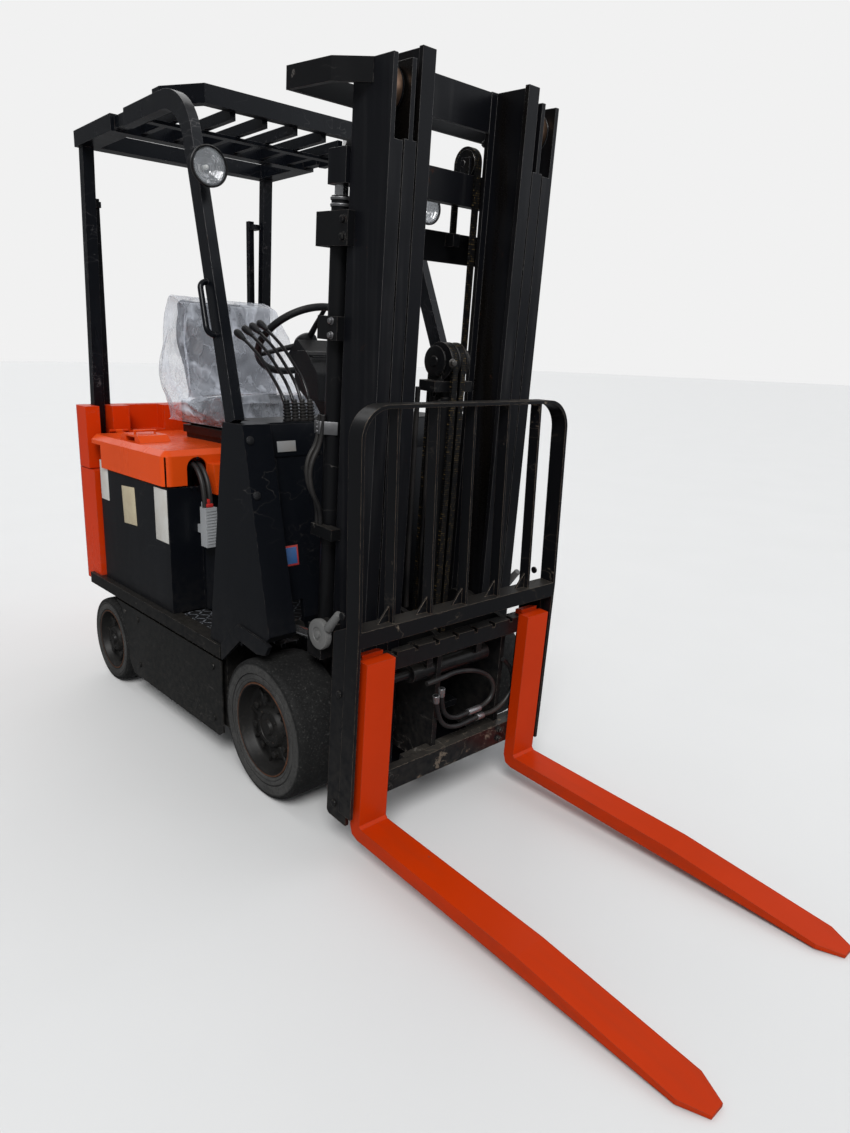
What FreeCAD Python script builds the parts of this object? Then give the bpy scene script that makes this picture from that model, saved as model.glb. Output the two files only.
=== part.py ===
import FreeCAD, Part
import math
import os
import re
import Sketcher

# Electric forklift on cushion tyres. Millimetres. X points to the driver's right, Y forward to the
# forks and Z up. The origin is on the floor under the middle of the front axle, which is also the
# middle of the truck's length and width.

os.makedirs("parts", exist_ok=True)
doc = FreeCAD.newDocument("forklift")
V = FreeCAD.Vector

# Driving sizes: name, value in millimetres or degrees. A value in quotes follows from the others.
SIZES = [
    # wheels and axles
    ("front_wheel_radius", 228.6), ("front_tyre_width", 178), ("front_bore_radius", 154),
    ("rear_wheel_radius", 178), ("rear_tyre_width", 127), ("rear_bore_radius", 127),
    ("tyre_face", 506), ("wheelbase", 1220), ("rim_wall", 14), ("rim_recess", 6),
    ("kingpin_x", 340), ("kingpin_radius", 16), ("knuckle_radius", 26), ("turning_gap", 0.3),
    ("axle_tube_radius", 58), ("drum_radius", 128), ("mast_bottom_radius", 88),
    # frame and body
    ("sill_outer", 506), ("sill_top", 436), ("sill_depth", 46), ("sill_width", 58),
    ("sill_front", -257), ("sill_rear", -1409), ("skirt_outer", 502), ("skirt_wall", 5),
    ("skirt_bottom", 96), ("skirt_rear", -1036), ("side_inner", 466), ("side_wall", 14), ("pan_z", 376),
    ("pan_wall", 14),
    ("battery_half", 400), ("battery_front", -672), ("battery_rear", -1262),
    ("cover_outer", 480), ("cover_front", -655), ("cover_rear", -1290), ("cover_wall", 10),
    ("hood_outer", 490), ("hood_front", -655), ("hood_rear", -1360), ("hood_top", 1040),
    ("hood_bottom", "=hood_top - 128"), ("hood_wall", 8), ("hinge_y", -1367), ("hinge_z", "=hood_top + 6"),
    ("hinge_radius", 6.5), ("battery_top", "=hood_bottom - 32"),
    ("tail_y", -1548), ("tail_half", 492), ("tail_split", 893), ("tail_top", 1150),
    ("tail_front_low", -1322), ("tail_front_high", -1374), ("tail_bottom", 400), ("tail_corner", 85),
    # cowl and guard
    ("cowl_half", 399.7), ("cylinder_bay", 319), ("cowl_top", 1182), ("foot_outer", 497), ("foot_inner",
        400),
    ("guard_top", 2210), ("guard_tube", 34), ("guard_deep", 60), ("roof_half", 432), ("rail_end", -970),
    ("guard_box_front", -1067), ("guard_box_rear", -1431), ("guard_box_high", 58), ("post_in", 384),
    ("post_out", 428), ("post_foot", 1000), ("header_front", -600),
    # mast, measured upright
    ("mast_lean", 3.4), ("mast_rear", 104), ("mast_front", 264), ("mast_bottom", 78),
    ("inner_top", 2171), ("outer_top", "=inner_top - 35"), ("middle_top", "=inner_top - 35"), ("flange_wall",
        15),
    ("outer_face", 318), ("outer_inner", 275), ("middle_face", 270), ("middle_inner", 230),
    ("inner_face", 225), ("inner_inner", 180), ("web_wall", 14), ("roller_radius", 58),
    ("flange_cut", "=inner_top - 226"), ("roller_z", "=inner_top - 99"),
    ("barrel_x", 300), ("barrel_y", 45), ("barrel_radius", 27), ("barrel_bottom", 330),
    ("tie_low", "=inner_top - 321"), ("tie_high", "=inner_top - 231"), ("barrel_top", "=tie_low - 28"),
    ("slide_gap", 0.08), ("rod_radius", 19), ("pulley_x", 150),
    ("free_y", 200), ("free_radius", 38), ("free_bottom", 262), ("free_top", 1292),
    ("ram_radius", 28), ("sheave_z", "=free_top + 105"), ("sheave_radius", 50),
    # carriage, upright and at rest
    ("bar_back", 418), ("bar_front", 446), ("bar_top", 623), ("bar_split", 571),
    ("low_bar_top", 251), ("low_bar_bottom", 181), ("side_shift", 112),
    ("fork_spread", 372), ("fork_width", 98), ("fork_thick", 40), ("fork_length", 1067),
    ("fork_heel", 93.4), ("fork_top", 633), ("rack_half", 400), ("rack_top", 1307),
    ("rack_flat", 54), ("rack_wall", 10), ("rack_front", 479), ("rack_foot", 168), ("rack_shelf", 727),
    # tilt cylinders
    ("tilt_x", 362), ("tilt_eye_y", 96), ("tilt_eye_z", 548), ("tilt_pin_y", -286), ("tilt_pin_z", 512),
]

sheet = doc.addObject("Spreadsheet::Sheet", "Sizes")
for row, (alias, value) in enumerate(SIZES, 1):
    sheet.set("A%d" % row, alias.replace("_", " "))
    sheet.set("B%d" % row, str(value))
    sheet.setAlias("B%d" % row, alias)
doc.recompute()
ALIASES = {alias for alias, value in SIZES}
nodes = []


def cell(text):
    """An expression in which every driving size is read from the sheet."""
    return re.sub(r"[a-z][a-z_0-9]*", lambda m: ("Sizes." if m.group(0) in ALIASES else "") + m.group(0),
                  text)


def value(text):
    """The number that an expression stands for."""
    found = {alias: sheet.get(alias) for alias in ALIASES}
    for name, number in found.items():
        text = re.sub(r"\b%s\b" % name, "(%r)" % float(number), text)
    total = doc.getObject("Sizes").evalExpression(text)
    return float(getattr(total, "Value", total))


def bind(piece, **places):
    for prop, text in places.items():
        piece.setExpression(prop.replace("__", "."), cell(text))
    return piece


def block(name, x, y, z):
    """A box between two planes on each axis."""
    piece = doc.addObject("Part::Box", name)
    bind(piece, Length="(%s) - (%s)" % (x[1], x[0]), Width="(%s) - (%s)" % (y[1], y[0]),
         Height="(%s) - (%s)" % (z[1], z[0]), Placement__Base__x=x[0], Placement__Base__y=y[0],
         Placement__Base__z=z[0])
    return piece


def round_bar(name, axis, place, radius, low, high):
    """A cylinder along X, Y or Z. place holds the two other coordinates, in X, Y, Z order."""
    piece = doc.addObject("Part::Cylinder", name)
    turn = {"X": (V(0, 1, 0), 90), "Y": (V(1, 0, 0), -90), "Z": (V(0, 0, 1), 0)}[axis]
    piece.Placement = FreeCAD.Placement(V(), FreeCAD.Rotation(*turn))
    base = list(place)
    base.insert("XYZ".index(axis), low)
    bind(piece, Radius=radius, Height="(%s) - (%s)" % (high, low), Placement__Base__x=base[0],
         Placement__Base__y=base[1], Placement__Base__z=base[2])
    return piece


def sketch(body, plane, outline, offset="0"):
    """A closed outline on one of the body's own planes. Every corner is tied to the sheet."""
    drawing = body.newObject("Sketcher::SketchObject", body.Name + "_sketch")
    origin = [o for o in body.Origin.OriginFeatures if o.Role == plane + "_Plane"][0]
    drawing.AttachmentSupport = [(origin, "")]
    drawing.MapMode = "FlatFace"
    drawing.setExpression("AttachmentOffset.Base.z", cell(offset))
    spots = [(value(a), value(b)) for a, b in outline]
    count = len(spots)
    for i in range(count):
        start, end = spots[i], spots[(i + 1) % count]
        drawing.addGeometry(Part.LineSegment(V(*start, 0), V(*end, 0)), False)
    for i in range(count):
        drawing.addConstraint(Sketcher.Constraint("Coincident", i, 2, (i + 1) % count, 1))
    for i in range(count):
        for kind, number, text in zip(("DistanceX", "DistanceY"), spots[i], outline[i]):
            index = drawing.addConstraint(Sketcher.Constraint(kind, -1, 1, i, 1, number))
            drawing.setExpression("Constraints[%d]" % index, cell(text))
    return drawing


def plate(name, plane, outline, low, high, rounds=()):
    """An outline on XY, XZ or YZ, padded along the third axis from low to high.

    rounds lists (corner numbers, radius): those corners are filleted along the pad."""
    body = doc.addObject("PartDesign::Body", name)
    flip = plane == "XZ"
    drawing = sketch(body, plane, outline, "-(%s)" % high if flip else low)
    pad = body.newObject("PartDesign::Pad", name + "_pad")
    pad.Profile = drawing
    pad.setExpression("Length", cell("(%s) - (%s)" % (high, low)))
    doc.recompute()
    axes = {"XY": (0, 1, 2), "XZ": (0, 2, 1), "YZ": (1, 2, 0)}[plane]
    for corners, radius in rounds:
        spots = [(value(outline[i][0]), value(outline[i][1])) for i in corners]
        edges = []
        for number, edge in enumerate(body.Shape.Edges, 1):
            ends = [v.Point for v in edge.Vertexes]
            if len(ends) != 2 or abs(ends[0][axes[2]] - ends[1][axes[2]]) < 1e-6:
                continue
            where = (ends[0][axes[0]], ends[0][axes[1]])
            straight = math.dist(where, (ends[1][axes[0]], ends[1][axes[1]])) < 1e-6
            if straight and any(math.dist(where, spot) < 1e-4 for spot in spots):
                edges.append("Edge%d" % number)
        fillet = body.newObject("PartDesign::Fillet", name + "_fillet")
        fillet.Base = (body.Tip if body.Tip != fillet else pad, edges)
        fillet.setExpression("Radius", cell(radius))
        doc.recompute()
    return body


def turned(name, outline, y, z):
    """An outline of (x, radius) corners turned about the X axis at y, z."""
    body = doc.addObject("PartDesign::Body", name)
    drawing = sketch(body, "XY", outline)
    turn = body.newObject("PartDesign::Revolution", name + "_turn")
    turn.Profile = drawing
    turn.ReferenceAxis = (drawing, ["H_Axis"])
    turn.Angle = 360
    bind(body, Placement__Base__y=y, Placement__Base__z=z)
    return body


def fuse(name, pieces):
    piece = doc.addObject("Part::MultiFuse", name)
    piece.Shapes = pieces
    return piece


def cut(name, base, tools):
    piece = doc.addObject("Part::Cut", name)
    piece.Base = base
    piece.Tool = tools[0] if len(tools) == 1 else fuse(name + "_tools", tools)
    return piece


def mirrored(name, source):
    piece = doc.addObject("Part::Mirroring", name)
    piece.Source = source
    piece.Normal = V(1, 0, 0)
    return piece


def both(name, right):
    """The right-hand piece and its mirror image as one sub-part of two solids."""
    piece = doc.addObject("Part::Compound", name)
    piece.Links = [right, mirrored(name + "_left", right)]
    return piece


def group(name, pieces):
    piece = doc.addObject("Part::Compound", name)
    piece.Links = pieces
    return piece


def shaped(name, shape):
    piece = doc.addObject("Part::Feature", name)
    piece.Shape = shape
    return piece


def keep(label, piece):
    """Name a finished sub-part. It is written as parts/LABEL.step."""
    piece.Label = label
    nodes.append(piece)
    return piece


def lean(label, piece, shift=None):
    """Keep a mast sub-part, modelled upright, leaned about the front axle and side-shifted."""
    place = FreeCAD.Placement(V(), FreeCAD.Rotation(V(1, 0, 0), -value("mast_lean")),
                              V(0, 0, value("front_wheel_radius")))
    if shift:
        place = place.multiply(FreeCAD.Placement(V(value(shift), 0, 0), FreeCAD.Rotation()))
    piece.Placement = place.multiply(piece.Placement)
    return keep(label, piece)


def tube_path(points, radius):
    """Straight runs joined by tangent arcs, as one wire. radius is one number or one for each corner."""
    spots = [V(*p) for p in points]
    radii = radius if isinstance(radius, (list, tuple)) else [radius] * (len(spots) - 2)
    edges = []
    start = spots[0]
    for i in range(1, len(spots) - 1):
        before = (spots[i - 1] - spots[i]).normalize()
        after = (spots[i + 1] - spots[i]).normalize()
        turn = math.pi - before.getAngle(after)
        reach = radii[i - 1] * math.tan(turn / 2)
        enter, leave = spots[i] + before * reach, spots[i] + after * reach
        middle = (before + after).normalize()
        centre = spots[i] + middle * (radii[i - 1] / math.cos(turn / 2))
        top = centre - middle * radii[i - 1]
        if (enter - start).Length > 1e-6:
            edges.append(Part.LineSegment(start, enter).toShape())
        edges.append(Part.Arc(enter, top, leave).toShape())
        start = leave
    edges.append(Part.LineSegment(start, spots[-1]).toShape())
    return Part.Wire(edges)


def swept(path, section):
    """A closed section wire swept along a path."""
    return path.makePipeShell([section], True, False)


def hose(points, thickness, radius):
    """A round hose along straight runs and tangent arcs."""
    path = tube_path(points, radius)
    direction = V(*points[1]) - V(*points[0])
    ring = Part.Wire([Part.makeCircle(thickness / 2, V(*points[0]), direction)])
    return swept(path, ring)


def cord_radii(name, points):
    """The largest tangent arcs that a cord's runs leave room for, printed with the runs."""
    runs = [math.dist(a, b) for a, b in zip(points, points[1:])]
    radii = []
    for i in range(1, len(points) - 1):
        before, after = V(*points[i]) - V(*points[i - 1]), V(*points[i + 1]) - V(*points[i])
        radii.append(0.45 * min(runs[i - 1], runs[i]) / math.tan(before.getAngle(after) / 2))
    print(name, "radii", [round(r) for r in radii], "runs", [round(r) for r in runs])
    return radii


# Wheels
front_face = "tyre_face"
front_back = "tyre_face - front_tyre_width"
rear_back = "tyre_face - rear_tyre_width"


def tyre(name, back, radius, bore, y, shoulder):
    outline = [(back, bore), (front_face, bore), (front_face, "%s - %s" % (radius, shoulder)),
               ("%s - %s" % (front_face, shoulder), radius), ("%s + %s" % (back, shoulder), radius),
               (back, "%s - %s" % (radius, shoulder))]
    return turned(name, outline, y, radius)


def rim(name, back, bore, disc, deep, hub, radius, y, bolt_circle, bolts):
    """A rim band, a hub drum that nearly fills it and a boss in one turning, with its wheel nuts."""
    face = "%s + %d" % (disc, deep)
    outer = bore + " - turning_gap"
    inner = bore + " - rim_wall"
    outline = [("%s + rim_recess" % back, outer), ("tyre_face - rim_recess", outer),
               ("tyre_face - rim_recess", inner), (face + " - 6", inner),
               (face, "%s + 8" % hub), (face + " + 18", hub), (face + " + 18", "0"),
               (disc, "0"), (disc, inner), ("%s + rim_recess" % back, inner)]
    dish = turned(name + "_dish", outline, y, radius)
    nuts = []
    for i in range(bolts):
        angle = 2 * math.pi * i / bolts
        nut = round_bar("%s_nut%d" % (name, i), "X", ("0", "0"), "11", disc, face + " + 14")
        bind(nut, Placement__Base__y="%s + %s * %.6f" % (y, bolt_circle, math.cos(angle)),
             Placement__Base__z="%s + %s * %.6f" % (radius, bolt_circle, math.sin(angle)))
        nuts.append(nut)
    return fuse(name, [dish] + nuts)


rear_y = "-wheelbase"
front_tyre = tyre("front_tyre", front_back, "front_wheel_radius", "front_bore_radius", "0", "18")
rear_tyre = tyre("rear_tyre", rear_back, "rear_wheel_radius", "rear_bore_radius", rear_y, "22")
front_rim = rim("front_rim", front_back, "front_bore_radius", "tyre_face - 112", 70, "60",
                "front_wheel_radius", "0", "92", 8)
rear_rim = rim("rear_rim", rear_back, "rear_bore_radius", "tyre_face - 80", 50, "46",
               "rear_wheel_radius", rear_y, "74", 5)
for name, source in (("front_tyre", front_tyre), ("front_rim", front_rim),
                     ("rear_tyre", rear_tyre), ("rear_rim", rear_rim)):
    keep(name + "_right", source)
    keep(name + "_left", mirrored(name + "_other", source))

# Steering knuckle: a post round the kingpin and a stub axle into the rim's hub
knuckle_low, knuckle_high = "rear_wheel_radius - 56", "rear_wheel_radius + 55"
yoke_low, yoke_high = "rear_wheel_radius - 78", "rear_wheel_radius + 78"
post = round_bar("knuckle_post", "Z", ("kingpin_x", rear_y), "knuckle_radius", knuckle_low, knuckle_high)
stub = round_bar("knuckle_stub", "X", (rear_y, "rear_wheel_radius"), "25", "kingpin_x",
                 "tyre_face - 80 - turning_gap")
knuckle = cut("knuckle", fuse("knuckle_solid", [post, stub]),
              [round_bar("knuckle_bore", "Z", ("kingpin_x", rear_y), "kingpin_radius + slide_gap", yoke_low,
                  yoke_high)])
keep("knuckle_right", knuckle)
keep("knuckle_left", mirrored("knuckle_other", knuckle))

# Steer axle: a beam hung on a fore and aft pivot, with a yoke and kingpin at each end
yoke = []
for low, high in ((yoke_low, knuckle_low + " - 0.5"), (knuckle_high + " + 0.5", yoke_high)):
    yoke.append(round_bar("yoke_eye", "Z", ("kingpin_x", rear_y), "32", low, high))
    yoke.append(block("yoke_arm", ("289", "kingpin_x"), ("-wheelbase - 32", "-wheelbase + 32"), (low, high)))
yoke.append(block("yoke_back", ("289", "308"), ("-wheelbase - 32", "-wheelbase + 32"), (yoke_low,
    yoke_high)))
yoke.append(round_bar("kingpin", "Z", ("kingpin_x", rear_y), "kingpin_radius", yoke_low + " - 6",
    yoke_high + " + 6"))
yoke_right = fuse("yoke_right", yoke)
beam = plate("steer_beam", "XZ", [("-289", "140"), ("289", "140"), ("289", "216"), ("120", "236"),
                                  ("-120", "236"), ("-289", "216")], "-wheelbase - 44", "-wheelbase + 44")
pivot = round_bar("steer_pivot", "Y", ("0", "190"), "30", "-wheelbase - 84", "-wheelbase + 84")
keep("steer_axle", fuse("steer_axle", [beam, pivot, yoke_right, mirrored("yoke_left", yoke_right)]))

# Drive axle: tube, gear housing, motor behind it, brake drums inside the front rims
axle = [round_bar("axle_tube", "X", ("0", "front_wheel_radius"), "axle_tube_radius", "-(outer_face + 4)",
                  "outer_face + 4"),
        round_bar("gear_housing", "X", ("0", "front_wheel_radius"), "72", "-150", "120"),
        round_bar("drive_motor", "X", ("-138", "front_wheel_radius + 22"), "92", "-190", "170")]
drum = fuse("drum_right", [
    round_bar("drum", "X", ("0", "front_wheel_radius"), "drum_radius", "tyre_face - front_tyre_width + 6",
              "tyre_face - 118"),
    round_bar("spindle", "X", ("0", "front_wheel_radius"), "46", "outer_face",
        "tyre_face - 112 - turning_gap")])
keep("drive_axle", fuse("drive_axle", axle + [drum, mirrored("drum_left", drum)]))

# Frame: sills, side plates, pans, bulkhead and the brackets of the steer axle's pivot
sill = block("sill", ("sill_outer - sill_width", "sill_outer"), ("sill_rear", "sill_front"),
             ("sill_top - sill_depth", "sill_top"))
side = plate("side_plate", "YZ", [("sill_front", "130"), ("sill_front", "sill_top - sill_depth"),
                                  ("sill_rear", "sill_top - sill_depth"), ("sill_rear", "pan_z"),
                                  ("-968", "pan_z"), ("-968", "130")],
             "side_inner", "side_inner + side_wall")
sides = fuse("frame_side", [sill, side])
inner = "side_inner"
pan = block("battery_pan", ("-(%s)" % inner, inner), ("sill_rear", "cover_front + 15"), ("pan_z",
    "pan_z + pan_wall"))
belly = block("belly_pan", ("-(%s)" % inner, inner), ("-962", "sill_front"), ("130", "142"))
bulkhead = block("bulkhead", ("-(%s)" % inner, inner), ("sill_front - 14", "sill_front"), ("130",
    "sill_top - 20"))
wall = block("battery_wall", ("-(%s)" % inner, inner), ("cover_front + 1", "cover_front + 15"), ("142",
    "sill_top - 20"))
hanger = cut("pivot_hanger", block("hanger_block", ("-70", "70"), ("-wheelbase - 84", "-wheelbase + 84"),
    ("170", "pan_z")),
             [block("hanger_gap", ("-90", "90"), ("-wheelbase - 50", "-wheelbase + 50"), ("130", "260")),
              round_bar("hanger_bore", "Y", ("0", "190"), "30 + slide_gap", "-wheelbase - 100",
                  "-wheelbase + 100")])
hold = fuse("axle_brackets", [block("axle_bracket_r", ("215", "255"), ("-258", "-30"), ("200", "290")),
                              block("axle_bracket_l", ("-255", "-215"), ("-258", "-30"), ("200", "290"))])
hold_cut = cut("axle_brackets_cut", hold, [round_bar("bracket_bore", "X", ("0", "front_wheel_radius"),
                                                   "axle_tube_radius + slide_gap", "-300", "300")])
frame = fuse("frame", [sides, mirrored("frame_side_left", sides), pan, belly, bulkhead, wall, hanger,
    hold_cut])
keep("frame", frame)

# Skirts: side plates with a cut-out round the rear wheel
skirt = plate("skirt", "YZ", [("sill_front", "skirt_bottom + 20"), ("sill_front",
    "sill_top - sill_depth - 12"),
                              ("skirt_rear - 110", "sill_top - sill_depth - 12"), ("skirt_rear - 60", "354"),
                              ("skirt_rear - 24", "270"), ("skirt_rear - 10", "228"), ("skirt_rear - 10",
                                  "148"),
                              ("skirt_rear + 36", "skirt_bottom"),
                              ("sill_front - 30", "skirt_bottom")],
              "skirt_outer - skirt_wall", "skirt_outer")
standoffs = [round_bar("skirt_standoff_%d" % i, "X", (y, z), "12", "side_inner + side_wall",
    "skirt_outer + 4")
             for i, (y, z) in enumerate((("-321", "340"), ("-940", "340"), ("-321", "150"), ("-940",
                 "150")))]
keep("skirts", both("skirts", fuse("skirt_right", [skirt] + standoffs)))

# Battery and its covers
battery = block("battery", ("-battery_half", "battery_half"), ("battery_rear", "battery_front"),
                ("pan_z + pan_wall", "battery_top"))
keep("battery", battery)
cover_side = block("cover_side", ("cover_outer - cover_wall", "cover_outer"), ("cover_rear", "cover_front"),
                   ("sill_top", "hood_bottom - 6"))
cover_left = mirrored("cover_side_left", cover_side)
riser = block("riser", ("-(cover_outer - cover_wall)", "cover_outer - cover_wall"),
              ("cover_front - cover_wall", "cover_front"), ("sill_top", "hood_bottom - 6"))
ledge = plate("riser_step", "XY", [("-352", "cover_front"), ("-352", "cover_front + 20"), ("-300", "-545"),
    ("300", "-545"),
                                   ("352", "cover_front + 20"), ("352", "cover_front")], "sill_top", "690")
keep("battery_covers", fuse("battery_covers", [cover_side, cover_left, riser, ledge]))

# Floor plate with a raised mat on each step
floor = block("floor", ("-(sill_outer - sill_width)", "sill_outer - sill_width"), ("-545", "-250"),
              ("sill_top - 16", "sill_top - 4"))
floor_side = block("floor_side", ("352 + 3", "sill_outer - sill_width"), ("cover_front + 1", "-545"),
                   ("sill_top - 16", "sill_top - 4"))
mat = block("mat", ("356", "sill_outer - sill_width"), ("cover_front + 20", "-345"), ("sill_top - 4",
    "sill_top + 2"))
floor_base = block("floor_ramp", ("-330", "330"), ("-250", "-150"), ("sill_top - 16", "sill_top - 4"))
keep("floor_plate", fuse("floor_plate", [floor, floor_side, mirrored("floor_side_left", floor_side), mat,
                                         mirrored("mat_left", mat), floor_base]))

# Counterweight: a lower and an upper casting with rounded rear corners
low_tail = plate("tail_low", "XY", [("-tail_half", "tail_front_low"), ("-tail_half", "tail_y"), ("tail_half",
    "tail_y"),
                                    ("tail_half", "tail_front_low")], "tail_bottom", "tail_split - 4",
                 rounds=[((1, 2), "tail_corner")])
neck = block("tail_neck", ("-(tail_half - 16)", "tail_half - 16"), ("tail_y + 70", "tail_front_high - 4"),
             ("tail_split - 6", "tail_split"))
tow_bore = round_bar("tow_pin_bore", "Z", ("0", "tail_y + 45"), "16", "tail_bottom - 5", "525")
tow_mouth = block("tow_mouth", ("-60", "60"), ("tail_y - 5", "tail_y + 100"), ("520", "720"))
rail_gap = block("tail_rail_gap", ("-(sill_outer + 5)", "sill_outer + 5"), ("sill_rear - 1",
    "tail_front_low + 5"),
                 ("tail_bottom - 10", "sill_top"))
# The casting is in three solids, divided along the mouth's sides, so that its collision pieces leave
# the mouth open
slits = [block("tail_slit_%d" % side, ("%d * 60.05 - 0.15" % side, "%d * 60.05 + 0.15" % side),
               ("tail_y - 5", "tail_front_high + 5"), ("220", "tail_split + 5")) for side in (-1, 1)]
keep("counterweight_lower", cut("tail_low_cut", fuse("tail_low_neck", [low_tail, neck]), [tow_bore,
    tow_mouth, rail_gap] + slits))
keel = plate("tail_keel", "XZ", [("-250", "tail_bottom - 0.3"), ("-190", "230"), ("190", "230"), ("250",
    "tail_bottom - 0.3")],
             "tail_y + 6", "-wheelbase - 255")
keep("tail_foot", cut("tail_foot", keel, [round_bar("foot_bore", "Z", ("0", "tail_y + 45"), "20", "220",
    "tail_bottom")] + slits))
high_tail = plate("tail_high", "XY", [("-tail_half", "tail_front_high"), ("-tail_half", "tail_y"),
    ("tail_half", "tail_y"),
                                      ("tail_half", "tail_front_high")], "tail_split", "tail_top",
                  rounds=[((1, 2), "tail_corner")])
pocket = block("tail_pocket", ("150", "305"), ("tail_front_high - 70", "tail_front_high + 5"), ("1045",
    "tail_top + 5"))
post_slot = block("tail_post_slot", ("post_in - 5", "post_out + 5"), ("tail_y + 52", "tail_front_high + 5"),
                  ("post_foot", "tail_top + 5"))
tail_lip = plate("tail_lip_cut", "YZ", [("tail_y - 5", "tail_top + 5"), ("tail_y + 40", "tail_top + 5"),
                                        ("tail_y + 30", "tail_top - 60"), ("tail_y - 5", "tail_split + 30")],
                 "-(tail_half + 5)", "tail_half + 5")
tail_high_cut = cut("tail_high_cut", high_tail, [pocket, mirrored("tail_pocket_left", pocket), tail_lip,
    post_slot,
                                                 mirrored("tail_post_slot_left", post_slot)])
leaves = []
for i, (low, high) in enumerate(((320, 345), (375, 400))):
    leaves.append(round_bar("tail_knuckle_%d" % i, "X", ("hinge_y", "hinge_z"), "hinge_radius", "%d" % low,
        "%d" % high))
    leaves.append(block("tail_leaf_%d" % i, ("%d" % low, "%d" % high), ("tail_front_high - 1",
        "hinge_y - 2"),
                        ("hinge_z - 26", "hinge_z")))
leaves.append(round_bar("hinge_pin", "X", ("hinge_y", "hinge_z"), "3", "330", "390"))
tail_hinge = fuse("tail_hinge", leaves)
tail_hinges = [tail_hinge, mirrored("tail_hinge_left", tail_hinge)]
keep("counterweight_upper", fuse("counterweight_upper", [tail_high_cut] + tail_hinges))

# Hood: an orange shell with a bevelled skirt, open below, hinged at its rear edge
shell = plate("hood_outer_form", "XY", [("-hood_outer", "hood_rear"), ("hood_outer", "hood_rear"),
                                        ("hood_outer", "hood_front"), ("-hood_outer", "hood_front")],
              "hood_bottom", "hood_top", rounds=[((0, 1, 2, 3), "34")])
bevel = doc.addObject("Part::Chamfer", "hood_bevel")
doc.recompute()
top_edges = [(i + 1, 20.0, 20.0) for i, e in enumerate(shell.Shape.Edges)
             if all(abs(v.Point.z - value("hood_top")) < 1e-6 for v in e.Vertexes)]
bevel.Base = shell
bevel.Edges = top_edges
hollow = block("hood_hollow", ("-(hood_outer - hood_wall)", "hood_outer - hood_wall"),
               ("hood_rear + hood_wall", "hood_front - hood_wall"), ("hood_bottom - 5", "hood_top - 22"))
notch = fuse("cable_notch", [block("cable_notch_low", ("323", "402"), ("hood_front - 30", "hood_front + 5"),
                                   ("hood_bottom - 5", "hood_bottom + 62")),
                             round_bar("cable_notch_arch", "Y", ("362.5", "hood_bottom + 62"), "39.5",
                                       "hood_front - 30", "hood_front + 5")])
corner_gap = block("hood_corner_gap", ("hood_outer - 66", "hood_outer + 5"), ("hood_rear - 5",
    "hood_rear + 118"),
                   ("hood_bottom - 5", "hood_top - 36"))
lug = cut("hood_lug", plate("hood_lug_form", "XZ", [("250", "hood_top - 52"), ("322", "hood_top - 52"),
    ("322", "hood_top - 82"),
                                                    ("312", "hood_bottom - 36"), ("276", "hood_bottom - 36"),
                                                    ("250", "hood_bottom + 8")],
                            "hood_front - 1", "hood_front + 52"),
          [block("hood_lug_back", ("240", "330"), ("hood_front - 5", "hood_front + 8"),
                 ("hood_bottom - 42", "hood_bottom + 4"))])
hood_knuckle = cut("hood_knuckle", fuse("hood_knuckle_solid", [
    round_bar("hood_knuckle_bar", "X", ("hinge_y", "hinge_z"), "hinge_radius", "345.3", "374.7"),
    block("hood_leaf", ("345.3", "374.7"), ("hinge_y", "hood_rear + 34"), ("hood_top - 1",
        "hood_top + 3"))]),
    [round_bar("hood_knuckle_bore", "X", ("hinge_y", "hinge_z"), "3 + slide_gap", "340", "380")])
hood = fuse("hood", [cut("hood_shell", bevel, [hollow, notch, corner_gap,
    mirrored("hood_corner_gap_left", corner_gap)]),
                     lug, hood_knuckle, mirrored("hood_knuckle_left", hood_knuckle)])
keep("hood", hood)

# Latch box on the hood
latch_box = plate("latch_box", "YZ", [("-1120", "hood_top"), ("-1120", "hood_top + 12"), ("-1100",
    "hood_top + 26"),
                                        ("-960", "hood_top + 26"),
                                      ("-930", "hood_top")], "330", "452", rounds=[((1, 2, 3), "8")])
latch_slot = block("latch_slot", ("300", "480"), ("-1070", "-985"), ("hood_top - 2", "hood_top + 18"))
keep("hood_latch", cut("hood_latch", latch_box, [latch_slot]))

# Seat on its slide rails
seat_pan = block("seat_pan", ("-200", "200"), ("-1090", "-690"), ("hood_top + 22", "hood_top + 52"))
runners = [block("runner_%d" % i, (low, high), ("-1080", "-700"), ("hood_top", "hood_top + 22"))
           for i, (low, high) in enumerate((("-190", "-158"), ("158", "190")))]
keep("seat_base", fuse("seat_base", [seat_pan] + runners))
cushion_bottom = "hood_top + 52.3"
cushion = plate("cushion", "YZ", [("-1085", cushion_bottom), ("-700", cushion_bottom), ("-655",
    "hood_top + 100"),
                                  ("-665", "hood_top + 165"), ("-720", "hood_top + 182"), ("-1060",
                                      "hood_top + 150")],
                "-210", "210", rounds=[((2, 3, 4), "22")])
keep("seat_cushion", cushion)
seat_back = plate("seat_back", "YZ", [("-1062", "hood_top + 150.5"), ("-975", "hood_top + 158.7"), ("-985",
    "hood_top + 330"),
                                      ("-1060", "hood_top + 560"), ("-1130", "hood_top + 548"),
                                      ("-1140", "hood_top + 380")], "-200", "200", rounds=[((3, 4), "26")])
keep("seat_back", seat_back)

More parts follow.
